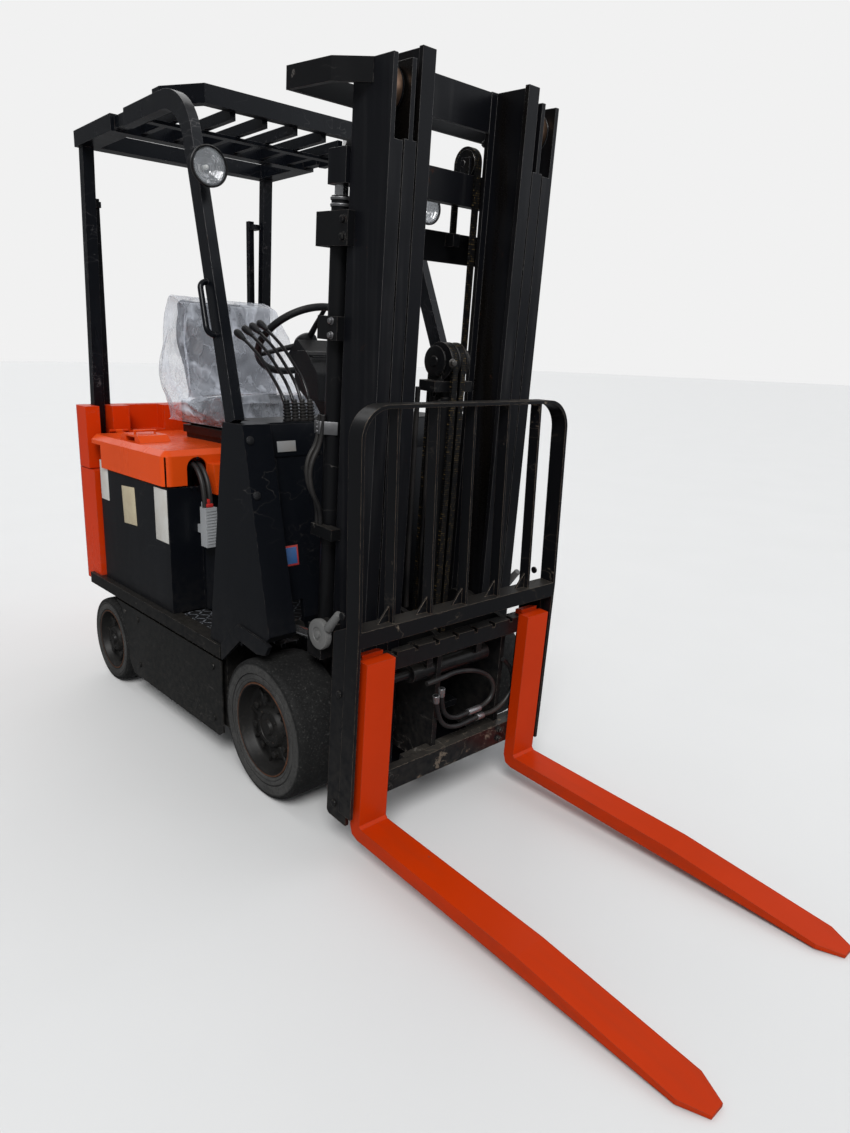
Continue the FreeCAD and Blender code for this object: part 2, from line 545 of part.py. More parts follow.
# Clear cover: a thin shell round the seat back, open below
cover_out = plate("cover_out", "YZ", [("-1170", "hood_top + 190"), ("-936", "hood_top + 214"), ("-962",
    "hood_top + 380"),
                                      ("-1032", "hood_top + 559.9"), ("-1156", "hood_top + 559.9")], "-212",
                                          "212")
cover_in = plate("cover_in", "YZ", [("-1167", "hood_top + 180"), ("-938", "hood_top + 204"), ("-965",
    "hood_top + 379"),
                                    ("-1034", "hood_top + 556.9"), ("-1153", "hood_top + 556.9")], "-209",
                                        "209")
keep("seat_cover", cut("seat_cover", cover_out, [cover_in]))

# Battery connector on a bracket, and its two cables, which arch through the hood's notch
CORD = 18
plug_top = "hood_bottom - 74"
plug = block("plug", ("335", "379"), ("-612", "-566"), (plug_top + " - 146", plug_top))
plug_tip = block("plug_tip", ("347", "373"), ("-612", "-602"), (plug_top + " - 2", plug_top + " + 18"))
plug_arm = block("plug_arm", ("345", "369"), ("cover_front", "-612"), (plug_top + " - 103",
    plug_top + " - 73"))
keep("battery_connector", fuse("battery_connector", [plug, plug_tip, plug_arm]))
CABLES = [("x", "start y", "end y"), (349, -752, -589), (371, -752, -589)]
cable_pieces = []
for x, start, end in CABLES[1:]:
    low, peak = value("battery_top"), value("hood_bottom") + 72
    points = [(x, start, low + 0.3), (x, start, low + 76), (x, (start + end) / 2, peak + 18), (x, end,
        low + 44),
              (x, end, value(plug_top) + 0.3)]
    cable_pieces.append(shaped("cable_%d" % x, hose(points, CORD, cord_radii("battery cable", points))))
keep("battery_cable", group("battery_cable", cable_pieces))

# Cowl: front panel with a recess, closed sides and a top deck under the levers
cowl_outline = [("-205", "sill_top - 4"), ("-60", "sill_top - 4"), ("-28", "560"), ("-118", "cowl_top"),
    ("-300", "cowl_top"),
                ("-330", "1120"), ("-300", "1080"), ("-205", "1000")]
cowl_full = plate("cowl_full", "YZ", cowl_outline, "-cowl_half", "cowl_half")
cowl_hollow = plate("cowl_hollow", "YZ", [("-193", "sill_top - 5"), ("-74", "sill_top - 5"), ("-46", "560"),
                                          ("-134", "cowl_top - 14"), ("-296", "cowl_top - 14"), ("-312",
                                              "1124"),
                                          ("-288", "1086"), ("-193", "1004")], "-(cowl_half - 12)",
                                              "cowl_half - 12")
foot_well = block("foot_well", ("-300", "300"), ("-215", "-185"), ("sill_top + 8", "960"))
wheel_side = block("cowl_wheel_side", ("cylinder_bay", "cowl_half + 5"), ("-340", "10"), ("sill_top - 10",
    "620"))
keep("cowl", cut("cowl_shell", cowl_full, [cowl_hollow, foot_well, wheel_side,
    mirrored("cowl_wheel_side_left", wheel_side)]))

# Pillar feet: tapered side boxes with a notch like an inverted V over the wheel
foot_outline = [("-335", "sill_top"), ("-250", "sill_top"), ("-135", "534"), ("21", "523"), ("45", "548"),
                ("-85", "cowl_top"), ("-205", "cowl_top")]
foot_skin = plate("foot_skin", "YZ", foot_outline, "foot_outer - 8", "foot_outer")
foot_front = plate("foot_front", "YZ", [("21", "523"), ("45", "548"), ("-85", "cowl_top"), ("-97",
    "cowl_top"),
                                        ("9", "523")], "foot_inner", "foot_outer - 8")
foot_top = block("foot_top", ("foot_inner", "foot_outer - 8"), ("-205", "-97"), ("cowl_top - 10",
    "cowl_top"))
strip = plate("fender_strip", "YZ", [("-250", "sill_top - 46"), ("-242", "sill_top - 46"), ("-122", "492"),
    ("-20", "478"),
                                     ("30", "488"), ("52", "522"), ("20", "531"), ("-136", "543"), ("-250",
                                         "sill_top + 8")],
              "foot_outer - 6", "foot_outer + 8")
bay_top = "640"
foot_base = block("foot_base", ("cylinder_bay", "foot_outer - 8"), ("-334", "-258"), ("sill_top",
    "sill_top + 8"))
bay_wall = plate("bay_wall", "YZ", [("-335", "sill_top"), ("-206", "sill_top"), ("-206", bay_top), ("-299.5",
    bay_top)],
                 "cylinder_bay", "cylinder_bay + 6")
bay_back = plate("bay_back", "YZ", [("-335", "sill_top"), ("-327", "sill_top"), ("-291.5", bay_top),
    ("-299.5", bay_top)],
                 "cylinder_bay", "foot_outer - 8")
bay_lid = block("bay_lid", ("cylinder_bay", "foot_outer - 8"), ("-299", "-206"), (bay_top + " - 6", bay_top))
foot_back = plate("foot_back", "YZ", [("-299.5", bay_top), ("-291.5", bay_top), ("-197", "cowl_top"),
    ("-205", "cowl_top")],
                  "foot_inner", "foot_outer - 8")
ears = [block("tilt_ear_%d" % i, ears_x, ("tilt_pin_y - 22", "tilt_pin_y + 22"), ("sill_top + 2",
    "tilt_pin_z + 22"))
        for i, ears_x in enumerate((("tilt_x - 32", "tilt_x - 18"), ("tilt_x + 18", "tilt_x + 32")))]
tilt_pin = round_bar("tilt_pin", "X", ("tilt_pin_y", "tilt_pin_z"), "12", "tilt_x - 30", "tilt_x + 30")
foot = fuse("foot", [foot_skin, foot_front, foot_top, strip, foot_base, bay_wall, bay_back, bay_lid,
    foot_back, tilt_pin] + ears)
keep("pillar_feet", both("pillar_feet", foot))

# Overhead guard: leaning front pillars bend into roof rails, with a header in front and a box behind
half_x, half_y = value("guard_tube") / 2, value("guard_deep") / 2
rail_z = value("guard_top") - half_y
pillar_low = V(value("foot_outer") - 7 - half_x, -168.7, value("cowl_top"))
pillar_high = V(value("roof_half") - half_x, -525, rail_z)
front_direction = (pillar_high - pillar_low).normalize()


def pillar(share):
    """The middle of the pillar at a share of its height between the cowl and the roof's top."""
    z = value("cowl_top") + share * (value("guard_top") - value("cowl_top"))
    return pillar_low + front_direction * ((z - pillar_low.z) / front_direction.z)


def guard_rail():
    """A rectangular tube along the pillar and the roof rail."""
    path = tube_path([tuple(pillar_low), tuple(pillar_high), (pillar_high.x, value("rail_end"), rail_z)],
        210)
    deep_way = front_direction.cross(V(1, 0, 0)).normalize()
    side_way = deep_way.cross(front_direction).normalize()
    corners = [pillar_low + side_way * (a * half_x) + deep_way * (b * half_y)
               for a, b in ((1, 1), (-1, 1), (-1, -1), (1, -1))]
    rail = swept(path, Part.makePolygon(corners + [corners[0]]))
    return rail.cut(Part.makeBox(400, 600, 200, V(pillar_low.x - 200, -460, value("cowl_top") - 200)))


rail_right = shaped("guard_rail", guard_rail())
rail_link = block("guard_link", ("roof_half - 46", "roof_half - 8"), ("guard_box_front - 5", "rail_end + 5"),
                  ("guard_top - 50", "guard_top - 8"))
rear_box = cut("rear_box", block("rear_box_full", ("-(roof_half + 8)", "roof_half + 8"), ("guard_box_rear",
    "guard_box_front"),
                                 ("guard_top - guard_box_high", "guard_top")),
               [block("rear_box_window", ("-(roof_half - 70)", "roof_half - 70"), ("guard_box_rear + 62",
                   "guard_box_front - 52"),
                      ("guard_top - guard_box_high - 5", "guard_top + 5"))])
box_low = "guard_top - guard_box_high"
rear_post = plate("rear_post", "YZ", [("-1493", "post_foot + 0.3"), ("-1453", "post_foot + 0.3"),
                                      ("-1380", box_low + " + 2"), ("-1420", box_low + " + 2")], "post_in",
                                          "post_out")
slim_post = plate("slim_post", "YZ", [("-1503", "tail_top + 0.3"), ("-1477", "tail_top + 0.3"),
                                      ("-1457", "guard_top - 232"), ("-1483", "guard_top - 232")], "346",
                                          "372")
slim_arm = block("slim_arm", ("352", "post_in + 6"), ("-1478", "-1424"), ("guard_top - 270",
    "guard_top - 248"))
header_y = "header_front"
header = plate("roof_header", "XY", [
    ("-400", header_y + " - 145"), ("-310", header_y), ("310", header_y), ("400", header_y + " - 145"),
    ("400", header_y + " - 200"), ("296", header_y + " - 36"), ("-296", header_y + " - 36"),
    ("-400", header_y + " - 200")], "guard_top - 27", "guard_top + 33")
low_grip, high_grip = pillar(0.251), pillar(0.4066)
grip = [(high_grip.x, high_grip.y - 14, high_grip.z), (high_grip.x + 42, high_grip.y - 14, high_grip.z),
        (low_grip.x + 42, low_grip.y - 14, low_grip.z), (low_grip.x, low_grip.y - 14, low_grip.z)]
guard_side = fuse("guard_side", [rail_right, rail_link, rear_post, slim_post, slim_arm])
keep("overhead_guard", fuse("overhead_guard", [guard_side, mirrored("guard_side_left", guard_side), rear_box,
    header,
                                               shaped("grab_handle", hose(grip, 18, [24, 24]))]))

# Roof bars, each with a seating gap at its ends, and the cross bar under them
BAR_SHARES = [("share of half width", "front end"), (1 / 6, 36.3), (1 / 2, 36.3), (5 / 6, 104)]
roof_bars = []
for i, (share, back) in enumerate(BAR_SHARES[1:]):
    middle = "%.6f * (roof_half - guard_tube - 20)" % share
    bar = block("roof_bar_%d" % i, (middle + " - 11", middle + " + 11"),
                ("guard_box_front + 0.3", "header_front - %s" % back), ("guard_top - 50", "guard_top - 12"))
    roof_bars += [bar, mirrored("roof_bar_left_%d" % i, bar)]
roof_bars.append(block("roof_cross_bar", ("-(roof_half - guard_tube - 0.3)", "roof_half - guard_tube - 0.3"),
                       ("-860", "-828"), ("guard_top - 62", "guard_top - 50.3")))
keep("roof_bars", group("roof_bars", roof_bars))

# Dash: steering column and binnacle
wheel_centre = V(0, -492, 1438)
wheel_axis = V(0, -math.sin(math.radians(40)), math.cos(math.radians(40)))
hub_end = wheel_centre - wheel_axis * 30.3
across = V(0, wheel_axis.z, -wheel_axis.y)
column_top = [("%.3f" % spot.y, "%.3f" % spot.z) for spot in (hub_end + across * 38, hub_end - across * 38)]
column = plate("column", "YZ", [("-296", "cowl_top"), ("-180", "cowl_top"), ("-188",
    "cowl_top + 70")] + column_top,
               "-64", "64")
binnacle = plate("binnacle", "YZ", [("-330", "1290"), ("-250", "1236"), ("-190", "1240"), ("-196", "1330"),
                                    ("-262", "1402"), ("-330", "1396")], "-130", "150",
                                        rounds=[((3, 4, 5), "22")])
dash = fuse("dash", [column, binnacle])
keep("dash", dash)

# Steering wheel: rim, three spokes and hub on the leaning column
wheel_turn = FreeCAD.Rotation(V(0, 0, 1), wheel_axis)


def steering_wheel():
    """The wheel is made flat on its axis, then turned to the column's lean."""
    rim_ring = Part.makeTorus(178, 14)
    hub = Part.makeCone(46, 34, 26, V(0, 0, -22)).fuse(Part.makeCylinder(40, 9, V(0, 0, -30)))
    spokes = [Part.makeCylinder(9, 150, V(26 * math.cos(a), 26 * math.sin(a), -12), V(math.cos(a),
        math.sin(a), 0.07))
              for a in (math.radians(90), math.radians(210), math.radians(330))]
    wheel = rim_ring.fuse([hub] + spokes).removeSplitter()
    wheel.Placement = FreeCAD.Placement(wheel_centre, wheel_turn)
    return wheel


keep("steering_wheel", shaped("steering_wheel", steering_wheel()))

# Levers: bent rods with knobs, each in a ribbed boot on the deck
LEVERS = [("x", "y", "reach"), (214, -140, 22), (243, -140, 12), (272, -140, 2), (302, -140, -12)]
lever_pieces = []
for x, y, reach in LEVERS[1:]:
    foot_spot = (x, y, value("cowl_top") + 6)
    rod = hose([foot_spot, (x, y - 12, 1262 + reach), (x, y - 170, 1400 + reach),
                (x, y - 300, 1462 + reach)], 11, [45, 60])
    knob = Part.makeSphere(13, V(x, y - 308, 1466 + reach))
    boot = Part.makeCone(14, 11, 60, V(x, y - 2, value("cowl_top")))
    lever_pieces.append(shaped("lever_%d" % x, rod.fuse([knob, boot])))
keep("levers", group("levers", lever_pieces))

# Pedals
pedal = plate("pedal", "YZ", [("-272", "sill_top - 3.7"), ("-258", "sill_top - 3.7"), ("-206", "600"),
    ("-217", "604")], "90", "170")
brake = plate("brake_pedal", "YZ", [("-280", "508"), ("-272", "503"), ("-238", "572"), ("-246", "577")],
    "-90", "10")
brake_arm = block("brake_arm", ("-50", "-30"), ("-262", "-246"), ("sill_top - 3.7", "548"))
keep("pedals", group("pedals", [pedal, fuse("brake", [brake, brake_arm])]))

# Headlamps on the front pillars
lamp_bowl = turned("lamp_bowl", [("0", "0"), ("0", "30"), ("21", "55"), ("40", "60"), ("48", "55"), ("48",
    "0")], "0", "0")
lamp_turned = group("lamp_turned", [lamp_bowl])
lamp_spot = pillar(0.7298)
front_slope = front_direction.y / front_direction.z
face_y = lamp_spot.y + half_y * math.hypot(1, front_slope) + 0.3
lamp_turned.Placement = FreeCAD.Placement(V(value("roof_half") + 15, face_y + 36, lamp_spot.z),
    FreeCAD.Rotation(V(0, 0, 1), 90))
bracket_low, bracket_high = lamp_spot.z - 20, lamp_spot.z + 20
lamp_bracket = plate("lamp_bracket", "YZ", [
    ("%.2f" % (face_y - 20 * front_slope), "%.2f" % bracket_low), ("%.2f" % (face_y + 38),
        "%.2f" % bracket_low),
    ("%.2f" % (face_y + 38), "%.2f" % bracket_high), ("%.2f" % (face_y + 20 * front_slope),
        "%.2f" % bracket_high)],
                     "424", "438")
keep("headlamps", both("headlamps", fuse("lamp_right", [lamp_turned, lamp_bracket])))

# Mast rails. The first column names the stage and the others give its flanges, webs and height.
# Stage: outer flange face, inner flange edge, web outer face, web inner face, bottom, top.
stages = {
    "outer": ("outer_face", "outer_inner", "outer_face", "outer_face - web_wall", "mast_bottom",
        "outer_top"),
    "middle": ("middle_face", "middle_inner", "middle_face - 13", "middle_inner + 13", "mast_bottom + 8",
        "middle_top"),
    "inner": ("inner_face", "inner_inner", "inner_face - 9", "inner_face - 21", "mast_bottom + 8",
        "inner_top"),
}


def rail(stage):
    """One rail: a front and a rear flange joined by a web."""
    far, near, web_out, web_in, low, high = stages[stage]
    return [block(stage + "_front_flange", (near, far), ("mast_front - flange_wall", "mast_front"), (low,
        high)),
            block(stage + "_rear_flange", (near, far), ("mast_rear", "mast_rear + flange_wall"), (low,
                high)),
            block(stage + "_web", (web_in, web_out), ("mast_rear", "mast_front"), (low, high))]


def roller(name, x, y, z):
    return round_bar(name, "X", (y, z), "roller_radius", x[0], x[1])


rail_mid_y = "(mast_rear + mast_front) / 2"
# Outer stage, with its cut-away front flange, top roller, tilt pivots and ties
outer_bits = rail("outer")
outer_cut = block("outer_flange_cut", ("outer_inner - 5", "outer_face - web_wall"),
    ("mast_front - flange_wall - 1", "mast_front + 5"),
                  ("flange_cut", "outer_top + 5"))
outer_right = fuse("outer_right", [cut("outer_rail", fuse("outer_rail_whole", outer_bits), [outer_cut]),
                                   round_bar("outer_roller", "X", (rail_mid_y, "roller_z"), "roller_radius",
                                             "middle_face - 8", "outer_face - web_wall")])
outer_foot = block("outer_foot", ("-outer_face", "outer_face"), ("84", "mast_front"), ("mast_bottom - 18",
    "mast_bottom"))
lean("mast_outer", fuse("mast_outer", [outer_right, mirrored("outer_left", outer_right), outer_foot]))

# Brackets on the outer stage, each a solid of its own with a seating gap of 0.3 mm: axle hooks, barrel
# seats, tilt lugs, barrel clamps, the tie loop with its chain posts, the top hoop and the hose clamp
back_face, side_face = "mast_rear - 0.3", "outer_face + 0.3"
hook = plate("hook", "YZ", [("-80", "188"), ("-40", "150"), ("40", "146"), (back_face, "150"), (back_face,
    "300"),
                            ("60", "308"), ("-30", "308"), ("-80", "270")], "286", "312",
                                rounds=[((0, 1, 6, 7), "20")])
hook_bore = round_bar("hook_bore", "X", ("0", "front_wheel_radius"), "axle_tube_radius + slide_gap", "280",
    "320")
seat_bracket = block("barrel_seat", ("barrel_x - 24", "outer_face"), ("barrel_y - 24", back_face),
                     ("barrel_bottom - 20", "barrel_bottom"))
clamp_z = ("barrel_top - 382", "barrel_top - 317")
clamp = cut("barrel_clamp", block("barrel_clamp_block", ("outer_inner + 1", "outer_face + 24"),
                                  ("barrel_y - 36", back_face), clamp_z),
            [round_bar("barrel_clamp_bore", "Z", ("barrel_x", "barrel_y"), "barrel_radius + 0.3",
                clamp_z[0] + " - 5",
                       clamp_z[1] + " + 5")])
lug_low = block("tilt_lug_arm", (side_face, "tilt_x + 28"), ("mast_rear - 30", "mast_rear + 40"),
                ("tilt_eye_z - 52", "tilt_eye_z + 50"))
lug_slot = block("tilt_lug_slot", ("tilt_x - 16", "tilt_x + 16"), ("mast_rear - 40", "mast_rear + 24"),
                 ("tilt_eye_z - 60", "tilt_eye_z + 60"))
lug_pin = round_bar("tilt_lug_pin", "X", ("tilt_eye_y", "tilt_eye_z"), "12", "outer_face + 4", "tilt_x + 27")
lug = fuse("tilt_lug", [cut("tilt_lug_fork", lug_low, [lug_slot]), lug_pin])
tie_z = ("tie_low - 160", "tie_low - 70")
tie_end = fuse("tie_end", [
    block("tie_end_back", ("barrel_x + barrel_radius + 1", "outer_face + 24"), ("-12", "mast_rear + 30"),
        tie_z),
    block("tie_end_front", (side_face, "outer_face + 24"), ("mast_rear", "mast_rear + 30"), tie_z),
    block("chain_post", ("pulley_x - 13", "pulley_x + 13"), ("6", "44"), ("tie_low - 112", "tie_low - 74"))])
tie_loop = fuse("tie_loop", [block("outer_tie", ("-(outer_face + 24)", "outer_face + 24"), ("-12", "8"),
    tie_z),
                             tie_end, mirrored("tie_end_left", tie_end)])
top_hoop = plate("top_hoop", "XY", [
    ("-" + side_face.replace("+", "-"), "187"), ("-387", "100"), ("-404", "-80"), ("404", "-80"), ("387",
        "100"),
    (side_face, "187"), (side_face, "171"), ("375", "93"), ("391", "-68"), ("-391", "-68"), ("-375", "93"),
    ("-" + side_face.replace("+", "-"), "171")], "outer_top - 58", "outer_top")
hose_clamp = fuse("hose_clamp", [block("hose_clamp_back", ("barrel_x + 28.5", "outer_face + 34"), ("20",
    "100"), ("862", "896.7")),
                                 block("hose_clamp_front", (side_face, "outer_face + 34"), ("76", "126"),
                                     ("862", "896.7"))])
brackets = []
for label, piece in (("hook", cut("hook_plate", hook, [hook_bore])), ("seat", seat_bracket), ("clamp",
    clamp), ("lug", lug)):
    brackets += [piece, mirrored(label + "_left", piece)]
lean("mast_brackets", group("mast_brackets", brackets + [tie_loop, top_hoop, hose_clamp]))

# Lift cylinder barrels, hollow so that the rods slide in them
barrel = cut("barrel_one", round_bar("barrel_out", "Z", ("barrel_x", "barrel_y"), "barrel_radius",
    "barrel_bottom", "barrel_top"),
             [round_bar("barrel_hole", "Z", ("barrel_x", "barrel_y"), "rod_radius + slide_gap",
                 "barrel_bottom + 20",
                           "barrel_top + 5")])
lean("lift_barrels", both("lift_barrels", barrel))

# Middle stage with its ties, and the lift rods that push it
middle_bits = rail("middle")
middle_cut = [block("middle_flange_cut_%d" % i, across, ("mast_front - flange_wall - 1", "mast_front + 5"),
                    ("flange_cut + 5", "middle_top + 5"))
              for i, across in enumerate((("middle_face - 13", "middle_face + 5"), ("middle_inner - 5",
                  "middle_inner + 13")))]
tie_thick = ("mast_rear - 42", "mast_rear - 6")
middle_tie_high = block("middle_tie_high", ("-(middle_face + 2)", "middle_face + 2"), tie_thick, ("tie_low",
    "tie_high"))
middle_tie_end = block("middle_tie_end", ("middle_face", "outer_face + 10"), ("barrel_y - 28",
    "mast_rear - 6"), ("tie_low", "tie_high"))
middle_joins = [block("middle_tie_join_%d" % i, ("middle_inner + 2", "middle_face - 2"), ("mast_rear - 8",
    "mast_rear + 1"), heights)
                for i, heights in enumerate((("tie_low", "tie_high"), ("mast_bottom + 30",
                    "mast_bottom + 190")))]
pulley_y, pulley_z = "mast_rear - 34", "tie_high + 32"
pulley = [round_bar("pulley", "X", (pulley_y, pulley_z), "40", "pulley_x - 11", "pulley_x + 11"),
          round_bar("pulley_pin", "X", (pulley_y, pulley_z), "9", "pulley_x - 24", "pulley_x + 24")]
for i, (low, high) in enumerate((("pulley_x - 22", "pulley_x - 14"), ("pulley_x + 14", "pulley_x + 22"))):
    pulley.append(block("pulley_cheek_%d" % i, (low, high), tie_thick, ("tie_high - 2", "tie_high + 48")))
pulley_right = fuse("pulley_right", pulley)
middle_right = fuse("middle_right", [
    cut("middle_rail", fuse("middle_rail_whole", middle_bits), middle_cut),
    round_bar("middle_roller_low", "X", (rail_mid_y, "mast_bottom + 75"), "roller_radius",
        "middle_face - 13",
              "outer_face - web_wall - 6"),
    round_bar("middle_roller_high", "X", (rail_mid_y, "roller_z + 8"), "roller_radius", "inner_face - 3",
              "middle_inner + 13"), middle_tie_end] + middle_joins)
middle_tie_low = block("middle_tie_low", ("-(middle_face - 2)", "middle_face - 2"), ("mast_rear - 20",
    "mast_rear - 6"),
                       ("mast_bottom + 30", "mast_bottom + 190"))
mast_middle = fuse("mast_middle", [middle_right, mirrored("middle_left", middle_right), middle_tie_high,
    middle_tie_low,
                                   pulley_right, mirrored("pulley_left", pulley_right)])
lean("mast_middle", mast_middle)
lift_rod = round_bar("lift_rod", "Z", ("barrel_x", "barrel_y"), "rod_radius", "barrel_bottom + 40",
    "tie_low")
lean("lift_rods", both("lift_rods", lift_rod))

# Inner stage with its ties and the free-lift cylinder's foot
inner_right = fuse("inner_right", rail("inner") + [
    round_bar("inner_roller_low", "X", (rail_mid_y, "mast_bottom + 75"), "roller_radius", "inner_face - 9",
              "middle_inner + 7")])
inner_tie_high = block("inner_tie_high", ("-(inner_face - 9)", "inner_face - 9"), ("mast_rear",
    "mast_rear + 14"),
                       ("inner_top - 111", "inner_top - 2"))
inner_tie_low = block("inner_tie_low", ("-(inner_face - 9)", "inner_face - 9"), ("mast_rear",
    "mast_rear + 14"),
                      ("mast_bottom + 20", "mast_bottom + 210"))
inner_foot = block("inner_foot", ("-120", "120"), ("mast_rear + 12", "free_y + 46"), ("free_bottom - 22",
    "free_bottom"))
mast_inner = fuse("mast_inner", [inner_right, mirrored("inner_left", inner_right), inner_tie_high,
    inner_tie_low, inner_foot])
lean("mast_inner", mast_inner)
free_barrel = cut("free_barrel", round_bar("free_barrel_out", "Z", ("0", "free_y"), "free_radius",
    "free_bottom", "free_top"),
                  [round_bar("free_barrel_hole", "Z", ("0", "free_y"), "ram_radius + slide_gap",
                      "free_bottom + 30", "free_top + 5")])
lean("free_lift_barrel", free_barrel)

# Free-lift head: ram, crosshead and the sheave with its guard
ram = round_bar("ram", "Z", ("0", "free_y"), "ram_radius", "free_top - 760", "free_top + 24")
crosshead = block("crosshead", ("-78", "78"), ("free_y - 34", "free_y + 34"), ("free_top + 18",
    "sheave_z - 56"))
cheek = block("head_cheek", ("36", "46"), ("free_y - 26", "free_y + 26"), ("sheave_z - 58", "sheave_z + 30"))
sheave = fuse("sheave", [round_bar("sheave_hub", "X", ("free_y", "sheave_z"), "18", "-46", "46"),
                         round_bar("sheave_disc", "X", ("free_y", "sheave_z"), "sheave_radius - 6", "-32",
                             "32"),
                         round_bar("sheave_rib", "X", ("free_y", "sheave_z"), "sheave_radius + 6", "-3",
                             "3"),
                         round_bar("sheave_rib_r", "X", ("free_y", "sheave_z"), "sheave_radius + 6", "28",
                             "34"),
                         round_bar("sheave_rib_l", "X", ("free_y", "sheave_z"), "sheave_radius + 6", "-34",
                             "-28")])
head = fuse("free_lift_head", [ram, crosshead, cheek, mirrored("head_cheek_left", cheek), sheave])
lean("free_lift_head", head)

# Chains: two leaf chains over the sheave, front strands down to the carriage, rear ones to the foot
CHAIN_X = (16, -16)


def strands(name, y, low, high, width=20, thick=10):
    pieces = [block("%s_%d" % (name, i), ("%s - %s" % (x, width / 2), "%s + %s" % (x, width / 2)),
                    ("%s - %s" % (y, thick / 2), "%s + %s" % (y, thick / 2)), (low, high))
              for i, x in enumerate(CHAIN_X)]
    return group(name, pieces)


over_right = cut("free_chain_over", round_bar("free_chain_disc", "X", ("free_y", "sheave_z"),
    "sheave_radius + 5", "6", "26"),
                 [round_bar("free_chain_hole", "X", ("free_y", "sheave_z"), "sheave_radius - 5", "5", "27"),
                  block("free_chain_half", ("5", "27"), ("free_y - 70", "free_y + 70"), ("sheave_z - 70",
                      "sheave_z"))])
lean("free_chain_top", both("free_chain_top", over_right))
lean("free_chain_front", strands("free_chain_front", "free_y + sheave_radius", "mast_bottom + 372",
    "sheave_z"))
lean("free_chain_rear", strands("free_chain_rear", "free_y - sheave_radius", "free_bottom", "sheave_z"))

# Side lift chains: from the outer tie over the middle stage's pulleys to the foot of the inner stage
chain_rear = block("chain_rear", ("pulley_x - 11", "pulley_x + 11"), (pulley_y + " - 49",
    pulley_y + " - 40.5"),
                   ("tie_low - 73.7", pulley_z))
chain_front = block("chain_front", ("pulley_x - 11", "pulley_x + 11"), (pulley_y + " + 40.5",
    pulley_y + " + 49"),
                    ("mast_bottom + 210.3", pulley_z))
chain_over = cut("chain_over", round_bar("chain_over_disc", "X", (pulley_y, pulley_z), "49", "pulley_x - 11",
    "pulley_x + 11"),
                 [round_bar("chain_over_hole", "X", (pulley_y, pulley_z), "40.5", "pulley_x - 12",
                     "pulley_x + 12"),
                  block("chain_over_half", ("pulley_x - 12", "pulley_x + 12"), (pulley_y + " - 60",
                      pulley_y + " + 60"),
                        (pulley_z + " - 60", pulley_z))])
lean("lift_chains_rear", both("lift_chains_rear", chain_rear))
lean("lift_chains_front", both("lift_chains_front", chain_front))
lean("lift_chains_top", both("lift_chains_top", chain_over))

# Hoses beside the right lift cylinder, looping out and down into their clamp
HOSES = [("x", "y"), (336, 26), (336, 44)]
hose_pieces = []
for i, (x, y) in enumerate(HOSES[1:]):
    route = [(x, y, 1225), (x, y, 1150), (x + 42, y - 4, 1090 - 12 * i), (x + 40, y + 6, 1015 - 14 * i),
             (340, y + 8, 960 - 16 * i), (340, y + 8, 897)]
    hose_pieces.append(shaped("mast_hose_%d" % i, hose(route, 14, cord_radii("mast hose", route))))
lean("mast_hoses", group("mast_hoses", hose_pieces))

# Carriage: side plates with rollers in the inner rails, joined by two bars
side_outline = [("150", "170"), ("bar_back - 8", "170"), ("bar_back - 8", "bar_top - 14"), ("300",
    "bar_top + 10"), ("230", "640"),
                ("150", "640")]
carriage_side = plate("carriage_side", "YZ", side_outline, "132", "150", rounds=[((4, 5), "24")])
carriage_rollers = [round_bar("carriage_roller_%d" % i, "X", (rail_mid_y, z), "roller_radius", "150",
    "inner_face - 21 - 6")
                    for i, z in enumerate(("250", "570"))]
carriage_right = fuse("carriage_right", [carriage_side] + carriage_rollers)
guide_bar = [block("guide_%d" % i, ("-258", "258"), ("bar_back - 31", "bar_back - 6"), spans)
             for i, spans in enumerate((("bar_split - 20", "bar_top - 12"), ("low_bar_bottom + 6",
                 "low_bar_top - 6")))]
shift_y, shift_z = "bar_back - 38", "502"
anchor = block("chain_anchor", ("-134", "134"), ("free_y + free_radius + 6", "free_y + sheave_radius + 26"),
               ("mast_bottom + 352", "mast_bottom + 372"))
shift_arms = [block("shift_arm_%d" % i, ("%d" % x, "%d" % (x + 22)), ("bar_back - 52", "bar_back - 8"),
    ("520", "bar_split"))
              for i, x in enumerate((-40, 170))]
barrel_seat = round_bar("shift_barrel_seat", "X", (shift_y, shift_z), "27.3", "-90", "245")
carriage_whole = fuse("carriage_whole", [carriage_right, mirrored("carriage_left", carriage_right),
    anchor] + shift_arms + guide_bar)
carriage = cut("carriage", carriage_whole, [barrel_seat])
lean("carriage", carriage)

# Side-shift cylinder: barrel on the carriage, rod to the shifting frame's right end plate
shift_barrel = cut("shift_barrel", round_bar("shift_barrel_out", "X", (shift_y, shift_z), "27", "-82",
    "236"),
                   [round_bar("shift_barrel_hole", "X", (shift_y, shift_z), "13 + slide_gap", "-70", "240")])
lean("side_shift_barrel", shift_barrel)

# Side-shift frame: two fork bars between end plates, hung on the carriage's guides
end_plate = plate("end_plate", "YZ", [("357", "rack_foot - 40"), ("bar_front", "rack_foot - 40"),
                                      ("bar_front", "700"), ("421", "722"), ("357", "690")],
                                          "rack_half - rack_wall - 12", "rack_half - rack_wall",
                  rounds=[((0, 3, 4), "14")])
fork_bar_high = plate("fork_bar_high", "YZ", [("bar_back", "bar_split"), ("bar_front", "bar_split"),
    ("bar_front", "bar_top"),
                                              ("bar_back", "bar_top")], "-(rack_half - rack_wall - 12)",
                                                  "rack_half - rack_wall - 12")
fork_bar_low = plate("fork_bar_low", "YZ", [("bar_back", "low_bar_bottom"), ("bar_front", "low_bar_bottom"),
                                            ("bar_front", "low_bar_top"), ("bar_back", "low_bar_top")],
                     "-(rack_half - rack_wall - 12)", "rack_half - rack_wall - 12")
